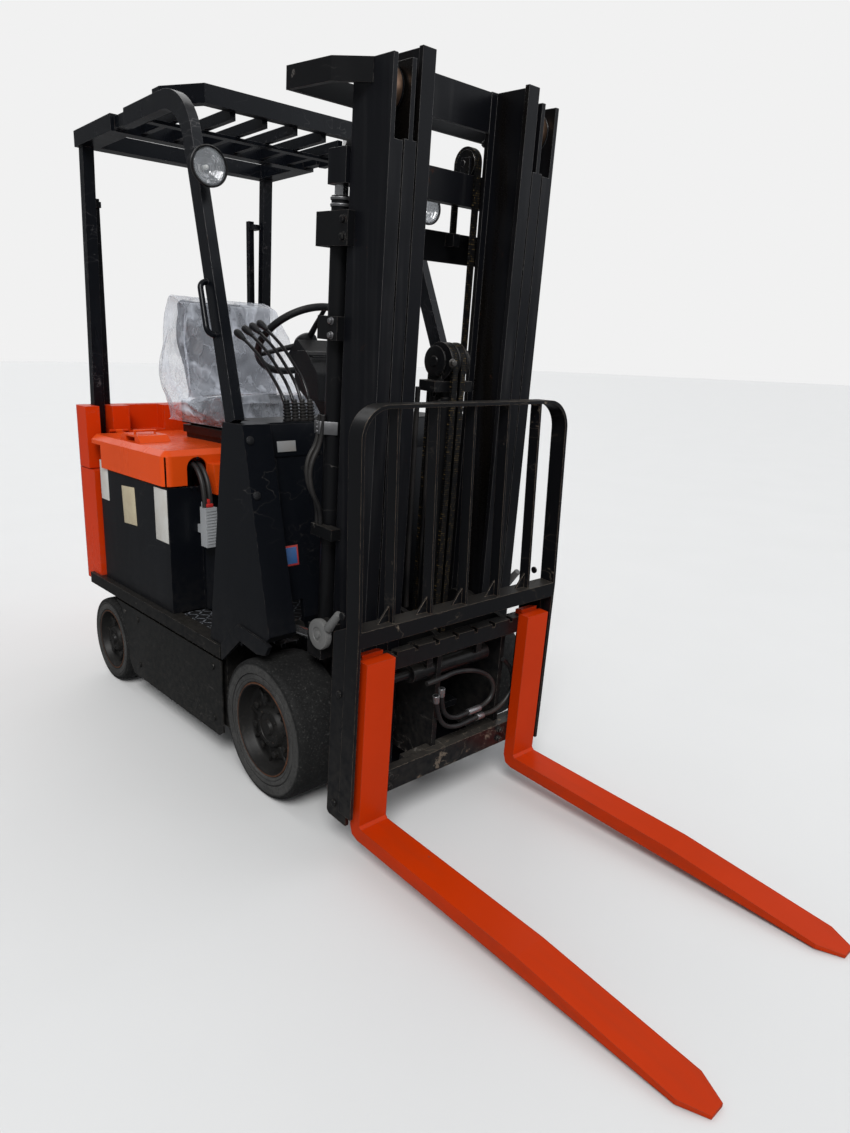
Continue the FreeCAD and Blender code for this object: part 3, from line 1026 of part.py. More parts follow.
shift_rod = round_bar("shift_rod", "X", (shift_y, shift_z), "13", "145 - side_shift",
    "rack_half - rack_wall - 12")
notches = [block("bar_notch_%d" % i, ("%d - 7" % x, "%d + 7" % x), ("bar_back - 1", "bar_front + 1"),
    ("bar_top - 12", "bar_top + 1"))
           for i, x in enumerate(range(-320, 321, 80))]
shift_frame = fuse("side_shift_frame", [cut("fork_bar_notched", fork_bar_high, notches), fork_bar_low,
    end_plate,
                                        mirrored("end_plate_left", end_plate), shift_rod])
lean("side_shift_frame", shift_frame, "side_shift")


# Load backrest: a bent flat bar, upright bars and a gusseted angle
def rack_hoop():
    """The flat bar is swept up one leg, across the top and down the other."""
    mid_x = value("rack_half") - value("rack_wall") / 2
    mid_z = value("rack_top") - value("rack_wall") / 2
    y0, y1 = value("rack_front") - value("rack_flat"), value("rack_front")
    foot_z = value("rack_foot")
    corner = 78
    out = Part.makeBox(2 * mid_x + value("rack_wall"), y1 - y0, mid_z - foot_z + value("rack_wall") / 2,
                       V(-mid_x - value("rack_wall") / 2, y0, foot_z))
    tops = [e for e in out.Edges if abs(e.CenterOfMass.z - value("rack_top")) < 1e-6
            and abs(abs(e.CenterOfMass.x) - value("rack_half")) < 1e-6]
    out = out.makeFillet(corner + value("rack_wall"), tops)
    hole = Part.makeBox(2 * mid_x - value("rack_wall"), y1 - y0 + 20,
        mid_z - foot_z - value("rack_wall") / 2 + 10,
                        V(-mid_x + value("rack_wall") / 2, y0 - 10, foot_z - 10))
    roofs = [e for e in hole.Edges if abs(e.CenterOfMass.z - (mid_z - value("rack_wall") / 2)) < 1e-6
             and abs(abs(e.CenterOfMass.x) - (mid_x - value("rack_wall") / 2)) < 1e-6]
    return out.cut(hole.makeFillet(corner, roofs))


def rack_half_hoop(name, low, high):
    """The part of the hoop between two heights."""
    slice_box = Part.makeBox(1200, 300, high - low, V(-600, value("rack_front") - 200, low))
    return shaped(name, rack_hoop().common(slice_box))


shelf_z = value("rack_shelf")
legs = rack_half_hoop("rack_legs", value("rack_foot") - 5, shelf_z)
shelf_front = block("rack_angle_front", ("-(rack_half - rack_wall)", "rack_half - rack_wall"),
    ("rack_front - 8", "rack_front"),
                    ("rack_shelf - 46", "rack_shelf"))
shelf_top = block("rack_angle_top", ("-(rack_half - rack_wall)", "rack_half - rack_wall"),
    ("rack_front - rack_flat", "rack_front"),
                  ("rack_shelf - 8", "rack_shelf"))
rack_bits = [rack_half_hoop("rack_upper", shelf_z - 6, value("rack_top") + 5)]
RACK_BARS = (-276, -138, 0, 138, 276)
for i, x in enumerate(RACK_BARS):
    rack_bits.append(block("rack_bar_%d" % i, ("%d - 4" % x, "%d + 4" % x), ("rack_front - 44",
        "rack_front - 8"),
                           ("rack_shelf - 4", "rack_top - rack_wall + 1")))
    rack_bits.append(plate("rack_gusset_%d" % i, "XZ", [("%d + 3" % x, "rack_shelf - 3"),
        ("%d + 44" % x, "rack_shelf - 3"),
                                                        ("%d + 3" % x, "rack_shelf + 46")],
                                                            "rack_front - 30", "rack_front - 24"))
rack_lean = group("rack_lean", [fuse("rack_raised", rack_bits)])
rack_lean.Placement = FreeCAD.Placement(V(), FreeCAD.Rotation(V(1, 0, 0), 2.8), V(0,
    value("rack_front") - 27, shelf_z))
lean("backrest", fuse("backrest", [legs, shelf_front, shelf_top, rack_lean]), "side_shift")

# Forks: shank with hooks, heel and a blade that tapers in thickness and width to its tip
blade_end = "bar_front + fork_thick + fork_length"
shank = plate("shank", "YZ", [("bar_front", "fork_heel + 34"), ("bar_front + 10", "fork_heel + 8"),
    ("bar_front + 34", "fork_heel"),
                              (blade_end, "fork_heel"), (blade_end, "fork_heel + 9"),
                              (blade_end + " - 480", "fork_heel + fork_thick"),
                              ("bar_front + fork_thick + 8", "fork_heel + fork_thick"),
                              ("bar_front + fork_thick", "fork_heel + fork_thick + 8"),
                              ("bar_front + fork_thick", "fork_top"), ("bar_front + 2", "fork_top"),
                                  ("bar_front", "fork_top - 4")],
              "-fork_width / 2", "fork_width / 2")
tip_cut = plate("tip_cut", "XY", [("fork_width / 2", blade_end + " - 62"), ("fork_width / 2 + 5",
    blade_end + " - 62"),
                                  ("fork_width / 2 + 5", blade_end + " + 5"), ("fork_width / 2 - 28",
                                      blade_end + " + 5"),
                                  ("fork_width / 2 - 28", blade_end)], "fork_heel - 5", "fork_heel + 50")
hook_high = plate("hook_high", "YZ", [("bar_front + 1", "bar_top + 1"), ("bar_back + 2", "bar_top + 1"),
    ("bar_back + 2", "bar_top + 16"),
                                      ("bar_front + 1", "bar_top + 22")], "-36", "36")
fork_one = fuse("fork_one", [cut("fork_blade", shank, [tip_cut, mirrored("tip_cut_left", tip_cut)]),
    hook_high])
for side_name, sign in (("right", 1), ("left", -1)):
    piece = doc.addObject("Part::Compound", "fork_" + side_name)
    piece.Links = [fork_one]
    offset = value("fork_spread") - value("fork_width") / 2
    piece.Placement = FreeCAD.Placement(V(sign * offset, 0, 0), FreeCAD.Rotation())
    lean("fork_" + side_name, piece, "side_shift")

# Tilt cylinders: barrel pinned in the pillar foot, rod pinned on the mast's lug
pin_low = V(value("tilt_x"), value("tilt_pin_y"), value("tilt_pin_z"))
lug_upright = V(value("tilt_x"), value("tilt_eye_y"), value("tilt_eye_z"))
lean_place = FreeCAD.Placement(V(), FreeCAD.Rotation(V(1, 0, 0), -value("mast_lean")), V(0, 0,
    value("front_wheel_radius")))
eye_spot = lean_place.multVec(lug_upright)
way = (eye_spot - pin_low).normalize()
reach = (eye_spot - pin_low).Length
side_way = V(1, 0, 0)


def tilt_barrel():
    ear = Part.makeCylinder(21, 28, pin_low - side_way * 14, side_way)
    neck = Part.makeCylinder(15, 30, pin_low, way)
    tube_start = pin_low + way * 27
    tube = Part.makeCylinder(31, reach - 150, tube_start, way)
    solid = ear.fuse([neck, tube])
    hole = Part.makeCylinder(16 + value("slide_gap"), reach - 150, tube_start + way * 25, way)
    return solid.cut(hole).cut(Part.makeCylinder(12 + value("slide_gap"), 40, pin_low - side_way * 20,
        side_way))


def tilt_rod():
    eye = Part.makeCylinder(24, 28, eye_spot - side_way * 14, side_way)
    shaft = Part.makeCylinder(16, reach - 128, eye_spot - way * 18, way * -1)
    # The tilt linkage's ratios fit the eye's path to 0.45 mm, so its bore leaves more than that
    return eye.fuse([shaft]).cut(Part.makeCylinder(12.8, 40, eye_spot - side_way * 20, side_way))


keep("tilt_barrels", both("tilt_barrels", shaped("tilt_barrel", tilt_barrel())))
keep("tilt_rods", both("tilt_rods", shaped("tilt_rod", tilt_rod())))

doc.recompute()
bad = [o.Name for o in doc.Objects if "Invalid" in o.State or "Error" in o.State]
if bad:
    raise SystemExit("failed: %s" % bad)
for piece in nodes:
    shape = piece.Shape
    if shape.isNull() or not shape.isValid() or not shape.Solids:
        raise SystemExit("bad shape: " + piece.Label)
for piece in nodes:
    piece.Shape.exportStep("parts/%s.step" % piece.Label)
    print(piece.Label, len(piece.Shape.Solids), "%.4g" % piece.Shape.Volume)
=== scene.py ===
import math

import bmesh
import bpy
from mathutils import Matrix, Vector


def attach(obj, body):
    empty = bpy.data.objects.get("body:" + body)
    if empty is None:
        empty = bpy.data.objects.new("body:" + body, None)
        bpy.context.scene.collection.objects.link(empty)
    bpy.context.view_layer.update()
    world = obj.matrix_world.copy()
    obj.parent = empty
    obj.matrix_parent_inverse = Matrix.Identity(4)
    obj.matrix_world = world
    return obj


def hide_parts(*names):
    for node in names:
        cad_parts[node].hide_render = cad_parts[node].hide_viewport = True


bl_info = {
    "name": "Forklift",
    "version": (1, 0, 0),
    "blender": (4, 5, 0),
    "location": "View3D > Sidebar > Forklift",
    "description": "Dresses the packed forklift frame with finishes, tyres, seat, controls and fittings",
    "category": "Object",
}

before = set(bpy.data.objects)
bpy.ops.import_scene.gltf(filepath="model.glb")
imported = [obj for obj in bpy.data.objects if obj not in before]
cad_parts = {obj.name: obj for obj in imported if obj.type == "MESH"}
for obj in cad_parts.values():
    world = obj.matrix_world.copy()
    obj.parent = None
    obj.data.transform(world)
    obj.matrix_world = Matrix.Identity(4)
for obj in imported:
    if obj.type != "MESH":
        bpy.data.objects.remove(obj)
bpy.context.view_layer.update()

MM = 0.001
LEAN = math.radians(3.4)
HUB = Vector((0, 0, 0.2286))
# Places a piece that is modelled upright, in metres, on the leaning mast
MAST = Matrix.Translation(HUB) @ Matrix.Rotation(-LEAN, 4, "X") @ Matrix.Translation(-HUB)
# The same for a piece on the frame that stands shifted to the right
SHIFTED = MAST @ Matrix.Translation((0.112, 0, 0))


# Shader arithmetic


class Value:
    """A shader socket on which arithmetic adds Math nodes."""

    def __init__(self, finish, socket):
        self.finish, self.socket = finish, socket

    def _math(self, operation, first, second=0.0):
        return self.finish.node("Math", {"operation": operation}, {0: first, 1: second})

    def __add__(self, other):
        return self._math("ADD", self, other)

    def __sub__(self, other):
        return self._math("SUBTRACT", self, other)

    def __rsub__(self, other):
        return self._math("SUBTRACT", other, self)

    def __mul__(self, other):
        return self._math("MULTIPLY", self, other)

    def __pow__(self, other):
        return self._math("POWER", self, other)

    def __abs__(self):
        return self._math("ABSOLUTE", self)

    def __mod__(self, other):
        return self._math("FLOORED_MODULO", self, other)

    __radd__, __rmul__ = __add__, __mul__

    def whole(self):
        """The whole number below."""
        return self._math("FLOOR", self)

    def most(self, other):
        return self._math("MAXIMUM", self, other)

    def ramp(self, low, high):
        """Goes from 0 at low to 1 at high and stays there."""
        return self.finish.node("MapRange", {"clamp": True},
                                {"Value": self, "From Min": low, "From Max": high})


class Finish:
    """A material under construction: one Principled shader and what drives it."""

    def __init__(self, name):
        self.material = bpy.data.materials.new(name)
        self.material.use_nodes = True
        self.tree = self.material.node_tree
        self.shader = next(n for n in self.tree.nodes if n.type == "BSDF_PRINCIPLED")
        self.where = self.node("TexCoord", output="Object")

    def node(self, kind, settings=None, inputs=None, output=0):
        """Adds a node, gives it its settings and inputs, and returns one output."""
        made = self.tree.nodes.new("ShaderNode" + kind)
        for key, setting in (settings or {}).items():
            setattr(made, key, setting)
        for key, given in (inputs or {}).items():
            if isinstance(given, Value):
                self.tree.links.new(given.socket, made.inputs[key])
            else:
                made.inputs[key].default_value = given
        return Value(self, made.outputs[output])

    def noise(self, scale, detail=4.0, stretch=(1, 1, 1), rough=0.55):
        """Cloudy noise; stretch squeezes it along the axes."""
        place = self.where if stretch == (1, 1, 1) else self.turned((0, 0, 0), stretch)
        return self.node("TexNoise", None,
                         {"Vector": place, "Scale": scale, "Detail": detail, "Roughness": rough})

    def turned(self, angles, scale=(1, 1, 1), centre=(0, 0, 0)):
        """Object coordinates, moved, scaled and turned."""
        return self.node("Mapping", None,
                         {"Vector": self.where, "Location": centre, "Rotation": angles, "Scale": scale})

    def parts(self, vector):
        return [self.node("SeparateXYZ", None, {0: vector}, i) for i in range(3)]

    def mix(self, factor, first, second):
        """A mix of two colours."""
        return self.node("Mix", {"data_type": "RGBA"}, {0: factor, 6: first, 7: second}, 2)

    def edges(self, radius):
        """How near an outer or inner edge is, and the normal rounded over it."""
        rounded = self.node("Bevel", {"samples": 4}, {"Radius": radius})
        normal = self.node("NewGeometry", output="Normal")
        match = self.node("VectorMath", {"operation": "DOT_PRODUCT"}, {0: rounded, 1: normal}, "Value")
        return (1 - match).ramp(0.01, 0.28), rounded

    def bump(self, height, distance, normal=None):
        """A normal that follows a height; distance is its depth in metres."""
        inputs = {"Height": height, "Distance": distance, "Strength": 1.0}
        if normal:
            inputs["Normal"] = normal
        return self.node("Bump", None, inputs, "Normal")

    def surface(self, sockets):
        """Gives the shader its sockets and returns the material."""
        for key, given in sockets.items():
            if isinstance(given, Value):
                self.tree.links.new(given.socket, self.shader.inputs[key])
            else:
                self.shader.inputs[key].default_value = given
        return self.material


def tint(colour, amount=1.0):
    return tuple(c * amount for c in colour[:3]) + (1.0,)


DUST = (0.24, 0.21, 0.17, 1)
RUST = (0.16, 0.062, 0.024, 1)


def painted(name, colour, roughness=0.35, coat=0.2, bare=(0.22, 0.20, 0.18), wear=0.4, dust=0.3, grime=0.4,
            rust=0.3, scrapes=0.2, edge=0.0022, peel=1.0, shine=0.22):
    """Paint on steel or iron: edges rubbed bare, dust above, dirt below, rust and scrapes."""
    finish = Finish(name)
    broad, fine = finish.noise(2.6, 5), finish.noise(48, 6)
    rubbed, rounded = finish.edges(edge)
    chips = (rubbed * (fine + 0.28)).ramp(0.92 - 0.55 * wear, 1.06 - 0.55 * wear)
    spots = (finish.noise(24, 8, rough=0.7) * (broad + 0.5)).ramp(0.78 - 0.12 * wear, 0.80 - 0.12 * wear)
    line = abs(finish.noise(7, 3, (1, 0.6, 1.6)) - 0.5).ramp(0.004, 0.001) * broad.ramp(0.5, 0.62)
    up = finish.parts(finish.node("NewGeometry", output="Normal"))[2]
    low = finish.parts(finish.where)[2].ramp(0.65, 0.02)
    dusty = up.ramp(0.3, 1.0) * broad.ramp(0.28, 0.75) * dust + low * fine.ramp(0.35, 0.8) * grime
    base = finish.mix(broad, tint(colour, 0.86), tint(colour, 1.12))
    base = finish.mix(line * scrapes, base, tint(bare, 1.3))
    worn = finish.mix(finish.noise(31, 3).ramp(0.62 - 0.25 * rust, 0.74), tint(bare), RUST)
    lost = chips.most(spots * rust)
    base = finish.mix(dusty, finish.mix(lost, base, worn), DUST)
    smear = finish.noise(5, 4, (1, 1, 0.25)).ramp(0.35, 0.7)
    height = finish.noise(240, 2) * (0.5 * peel) - lost * 1.5 + line * -0.4
    return finish.surface({
        "Base Color": base, "Roughness": smear * 0.14 + dusty * 0.4 + lost * 0.25 + (roughness - 0.07),
        "Metallic": lost * 0.6, "Coat Weight": (1 - lost) * coat, "Specular IOR Level": shine,
        "Coat Roughness": 0.16, "Normal": finish.bump(height, 0.0002, rounded)})


def bare_metal(name, colour, roughness=0.3, brushed=(1, 1, 40), oil=0.3):
    """Steel without paint, drawn or turned, with a film of oil in places."""
    finish = Finish(name)
    rubbed, rounded = finish.edges(0.0015)
    grain = finish.noise(60, 4, brushed)
    film = finish.noise(7, 5).ramp(0.45, 0.65) * oil
    base = finish.mix(film, finish.mix(grain, tint(colour, 0.8), tint(colour, 1.15)),
                      (0.03, 0.024, 0.018, 1))
    return finish.surface({"Base Color": finish.mix(rubbed * 0.4, base, tint(colour, 1.3)),
                           "Metallic": 0.95,
                           "Roughness": grain * 0.16 + film * 0.15 + (roughness - 0.08),
                           "Normal": finish.bump(grain, 0.00006, rounded)})


def mast_steel(name):
    """Black rolled rails with thin bright running edges, partly bare worn steel and partly a painted
    highlight, dark grease inside and long faint scrapes.
    """
    finish = Finish(name)
    x, y, z = finish.parts(finish.turned((LEAN, 0, 0)))
    broad, fine = finish.noise(3, 5), finish.noise(70, 6)
    rubbed, rounded = finish.edges(0.0022)
    # The bright edges are partly steel worn bare and partly a painted highlight along them.
    worn_edge_and_highlight = (rubbed * (finish.noise(34, 6, (1, 1, 0.3)) + 0.22)).ramp(0.40, 0.62)
    runs = finish.noise(30, 4, (1, 1, 0.03)).ramp(0.50, 0.72) * broad.ramp(0.35, 0.7)
    facing = finish.parts(finish.node("NewGeometry", output="Normal"))
    inner = abs(facing[0]).ramp(0.6, 0.95) * (1 - abs(x).ramp(0.3, 0.312))
    greased = inner * finish.noise(14, 6, (1, 1, 0.12)).ramp(0.36, 0.62)
    base = finish.mix(broad, (0.003, 0.0033, 0.0045, 1), (0.007, 0.0074, 0.0095, 1))
    base = finish.mix(runs * 0.22, base, (0.07, 0.068, 0.066, 1))
    base = finish.mix(greased, base, (0.0042, 0.0034, 0.0028, 1))
    rusty = finish.noise(17, 9, rough=0.75).ramp(0.63, 0.70) * broad.ramp(0.45, 0.65) * 0.45
    base = finish.mix(worn_edge_and_highlight, finish.mix(rusty, base, (0.10, 0.035, 0.014, 1)), (0.34, 0.33, 0.32, 1))
    return finish.surface({
        "Base Color": base, "Metallic": worn_edge_and_highlight * 0.7, "Specular IOR Level": 0.2,
        "Roughness": 0.27 + rusty * 0.3 - greased * 0.06 + fine * 0.1,
        "Normal": finish.bump(fine * 0.6 + greased * 0.5, 0.0003, rounded)})


def fork_paint(name, colour):
    """Red-orange forks with small chips on their edges, dull scuffs on the blades and a darker brown
    towards the bottom.
    """
    finish = Finish(name)
    x, y, z = finish.parts(finish.where)
    broad, fine = finish.noise(4, 5), finish.noise(42, 7, (1, 0.35, 1))
    rubbed, rounded = finish.edges(0.0025)
    up = finish.parts(finish.node("NewGeometry", output="Normal"))[2]
    blade = y.ramp(0.49, 0.62) * up.ramp(0.55, 0.9)
    scuffs = blade * finish.noise(16, 7, (1, 0.12, 1)).ramp(0.52, 0.72)
    pitted = (blade * finish.noise(58, 8, (1, 0.3, 1), 0.7)).ramp(0.67, 0.72) * 0.6
    lost = (rubbed * (fine + 0.3)).ramp(0.62, 0.72).most(pitted)
    base = finish.mix(broad, tint(colour, 0.86), tint(colour, 1.1))
    base = finish.mix(scuffs * 0.35, base, tint((0.30, 0.03, 0.006)))
    base = finish.mix(lost, base, finish.mix(fine, (0.05, 0.018, 0.01, 1), (0.15, 0.11, 0.09, 1)))
    # Darker brown towards the bottom, away from the blade tops.
    low = z.ramp(0.2, 0.06) * fine.ramp(0.4, 0.75) * 0.25 * (1 - blade)
    base = finish.mix(low, base, (0.09, 0.03, 0.015, 1))
    return finish.surface({
        "Base Color": base, "Metallic": lost * 0.3,
        "Roughness": 0.34 + scuffs * 0.14 + lost * 0.2 + low * 0.3,
        "Coat Weight": (1 - lost) * 0.03, "Coat Roughness": 0.2, "Specular IOR Level": 0.1,
        "Normal": finish.bump(fine * 0.4 - lost * 1.2, 0.0003, rounded)})


def tyre_rubber(name, centre_y, radius, tread_edge):
    """Black rubber: a scuffed, speckled tread and a grey, dusty sidewall with faint rings whose grooves are
    painted darker as painted shade.
    """
    finish = Finish(name)
    x, y, z = finish.parts(finish.where)
    out = ((y - centre_y) * (y - centre_y) + (z - radius) * (z - radius)) ** 0.5
    tread = out.ramp(tread_edge - 0.004, tread_edge + 0.003)
    fine, broad = finish.noise(90, 7, rough=0.7), finish.noise(6, 5)
    speck = finish.noise(150, 4, rough=0.8).ramp(0.58, 0.64) * tread
    cuts = abs(finish.noise(38, 5, rough=0.7) - 0.5).ramp(0.018, 0.004)
    outer_ring = abs(out - (tread_edge - 0.030)).ramp(0.0016, 0.0004)
    rings = outer_ring.most(abs(out - (tread_edge - 0.047)).ramp(0.0014, 0.0004))
    side = finish.mix(broad.ramp(0.3, 0.7), (0.032, 0.032, 0.031, 1), (0.058, 0.057, 0.055, 1))
    side = finish.mix(cuts * 0.7, side, (0.012, 0.012, 0.012, 1))
    # The rings' grooves are painted darker than the sidewall: painted shade in the recess.
    side = finish.mix(rings * 0.8, side, (0.010, 0.010, 0.010, 1))
    top = finish.mix(broad.ramp(0.3, 0.7), (0.0042, 0.0044, 0.0046, 1), (0.0095, 0.0095, 0.0092, 1))
    base = finish.mix(tread, side, top)
    base = finish.mix(speck * 0.5, base, (0.09, 0.088, 0.082, 1))
    return finish.surface({
        "Base Color": base, "Roughness": 0.66 + fine * 0.2, "Specular IOR Level": 0.3,
        "Normal": finish.bump(fine * (tread * 0.8 + 0.2) - rings * 1.5 - cuts * 0.6, 0.0009)})


def rim_paint(name, centre_y, radius, ring):
    """Black dish with a thin rusty ring where the tyre is pressed on."""
    finish = Finish(name)
    x, y, z = finish.parts(finish.where)
    out = ((y - centre_y) * (y - centre_y) + (z - radius) * (z - radius)) ** 0.5
    fine, broad = finish.noise(80, 7, rough=0.65), finish.noise(9, 5)
    rubbed, rounded = finish.edges(0.0015)
    rusty = out.ramp(ring - 0.0065, ring - 0.004) * (broad * 0.5 + fine * 0.8).ramp(0.35, 0.7)
    rusty = rusty.most((rubbed * fine).ramp(0.46, 0.62) * 0.6)
    base = finish.mix(broad, (0.0045, 0.0045, 0.0045, 1), (0.013, 0.012, 0.011, 1))
    base = finish.mix(fine.ramp(0.55, 0.8) * 0.35, base, (0.06, 0.05, 0.04, 1))
    base = finish.mix(rusty, base, finish.mix(fine, (0.05, 0.018, 0.008, 1), (0.15, 0.062, 0.03, 1)))
    return finish.surface({"Base Color": base, "Roughness": 0.45 + rusty * 0.3 + fine * 0.1,
                           "Specular IOR Level": 0.3,
                           "Metallic": rusty * 0.2, "Normal": finish.bump(fine + rusty, 0.0003, rounded)})


def grained(name, colour, roughness=0.5, grain=520, depth=0.00025, dust=0.25, coat=0.0):
    """Moulded plastic or vinyl with a leather grain and dust on its upper faces."""
    finish = Finish(name)
    cells = finish.node("TexVoronoi", {"feature": "DISTANCE_TO_EDGE"},
                        {"Vector": finish.where, "Scale": grain})
    broad, rounded = finish.noise(5, 5), finish.edges(0.0018)[1]
    up = finish.parts(finish.node("NewGeometry", output="Normal"))[2]
    dusty = up.ramp(0.2, 1.0) * broad.ramp(0.3, 0.75) * dust
    base = finish.mix(dusty, finish.mix(broad, tint(colour, 0.8), tint(colour, 1.25)), DUST)
    return finish.surface({"Base Color": base, "Roughness": roughness + dusty * 0.35 + broad * 0.1 - 0.05,
                           "Specular IOR Level": 0.3, "Coat Weight": coat, "Coat Roughness": 0.25,
                           "Normal": finish.bump(cells.ramp(0.0, 0.09), depth, rounded)})


def soft_rubber(name, colour=(0.0048, 0.0048, 0.0055), roughness=0.42):
    """Hose and boot rubber with fine pits and dust."""
    finish = Finish(name)
    fine, broad = finish.noise(160, 5), finish.noise(8, 4)
    base = finish.mix(broad.ramp(0.4, 0.8) * 0.35, finish.mix(fine, tint(colour, 0.7), tint(colour, 1.6)),
                      (0.09, 0.08, 0.07, 1))
    return finish.surface({"Base Color": base, "Roughness": roughness + fine * 0.15,
                           "Normal": finish.bump(fine, 0.0003)})


def leaf_chain(name):
    """Black oiled leaf chain: plates side by side, and pin ends in yellow-brown grease at each pitch."""
    finish = Finish(name)
    x, y, z = finish.parts(finish.turned((LEAN, 0, 0)))
    plates = abs((x * 330) % 1 - 0.5).ramp(0.46, 0.34)
    link = abs((z * 72 + ((x * 330).whole() % 2) * 0.5) % 1 - 0.5)
    plate, pin = link.ramp(0.47, 0.38), link.ramp(0.13, 0.06)
    fine = finish.noise(90, 5)
    base = finish.mix(plate * plates, (0.0015, 0.0015, 0.0015, 1), (0.007, 0.007, 0.0075, 1))
    base = finish.mix(pin * plates * fine.ramp(0.50, 0.60), base, (0.22, 0.15, 0.06, 1))
    return finish.surface({"Base Color": base, "Metallic": plate * 0.4, "Roughness": 0.34 + fine * 0.2,
                           "Specular IOR Level": 0.3,
                           "Normal": finish.bump(plate * plates + pin * 0.4, 0.002)})


def chequered(name):
    """Rubber tread mat with raised bars in two directions, their tops painted light blue-grey as a painted
    highlight, and bare plate around it.
    """
    finish = Finish(name)
    x, y, z = finish.parts(finish.turned((0, 0, 0), (34, 34, 34)))
    turn = (((x.whole() + y.whole()) % 2) * 2) - 1
    across, along = (x % 1) - 0.5, (y % 1) - 0.5
    bar = abs(across + along * turn).ramp(0.2, 0.12) * abs(along - across * turn).ramp(0.78, 0.66)
    fine = finish.noise(60, 6)
    rounded = finish.edges(0.0015)[1]
    base = finish.mix(fine, (0.004, 0.004, 0.005, 1), (0.011, 0.011, 0.012, 1))
    # The raised bars are painted light blue-grey: a painted highlight on their tops.
    base = finish.mix(bar * fine.ramp(0.3, 0.6) * 0.9, base, (0.17, 0.18, 0.20, 1))
    return finish.surface({"Base Color": base, "Roughness": 0.5 + fine * 0.2 - bar * 0.12,
                           "Specular IOR Level": 0.3,
                           "Normal": finish.bump(bar + fine * 0.2, 0.0012, rounded)})


def clear_film(name):
    """Milky plastic film: creases catch the light, and it is clearer between them."""
    finish = Finish(name)
    crease = abs(finish.noise(5, 4, (1, 1, 0.4), 0.5) - 0.5).ramp(0.035, 0.0)
    small = abs(finish.noise(15, 4, (1, 1, 0.5), 0.5) - 0.5).ramp(0.03, 0.0)
    cloud = finish.noise(4, 4)
    graze = finish.node("LayerWeight", None, {"Blend": 0.35}, "Facing")
    veil = crease * 0.3 + small * 0.14 + cloud.ramp(0.35, 0.7) * 0.26
    base = finish.mix(cloud, (0.42, 0.45, 0.52, 1), (0.80, 0.83, 0.9, 1))
    return finish.surface({"Base Color": base, "Roughness": 0.14 + cloud * 0.2 - graze * 0.05,
                           "Alpha": veil + 0.2,
                           "Coat Weight": 0.6, "Coat Roughness": 0.06,
                           "Normal": finish.bump(crease + small * 0.5 + cloud * 0.6, 0.004)})


def lens_glass(name):
    """Clear lamp glass: almost nothing but its own shine, with a little haze."""
    finish = Finish(name)
    haze = finish.noise(12, 5).ramp(0.45, 0.8)
    return finish.surface({"Base Color": (0.72, 0.76, 0.80, 1), "Roughness": haze * 0.15 + 0.06,
                           "Alpha": haze * 0.08 + 0.1, "Coat Weight": 1.0, "Coat Roughness": 0.03})


def printed_plate(name, ground, dirt=0.35):
    """A blank plate or sticker, yellowed and scuffed at random."""
    finish = Finish(name)
    broad, fine = finish.noise(14, 5), finish.noise(90, 5, rough=0.7)
    base = finish.mix(broad.ramp(0.3, 0.75) * dirt, tint(ground), (0.32, 0.25, 0.16, 1))
    base = finish.mix(fine.ramp(0.62, 0.72) * dirt, base, (0.06, 0.05, 0.045, 1))
    return finish.surface({"Base Color": base, "Roughness": 0.38 + broad * 0.2,
                           "Normal": finish.bump(broad, 0.0004, finish.edges(0.001)[1])})
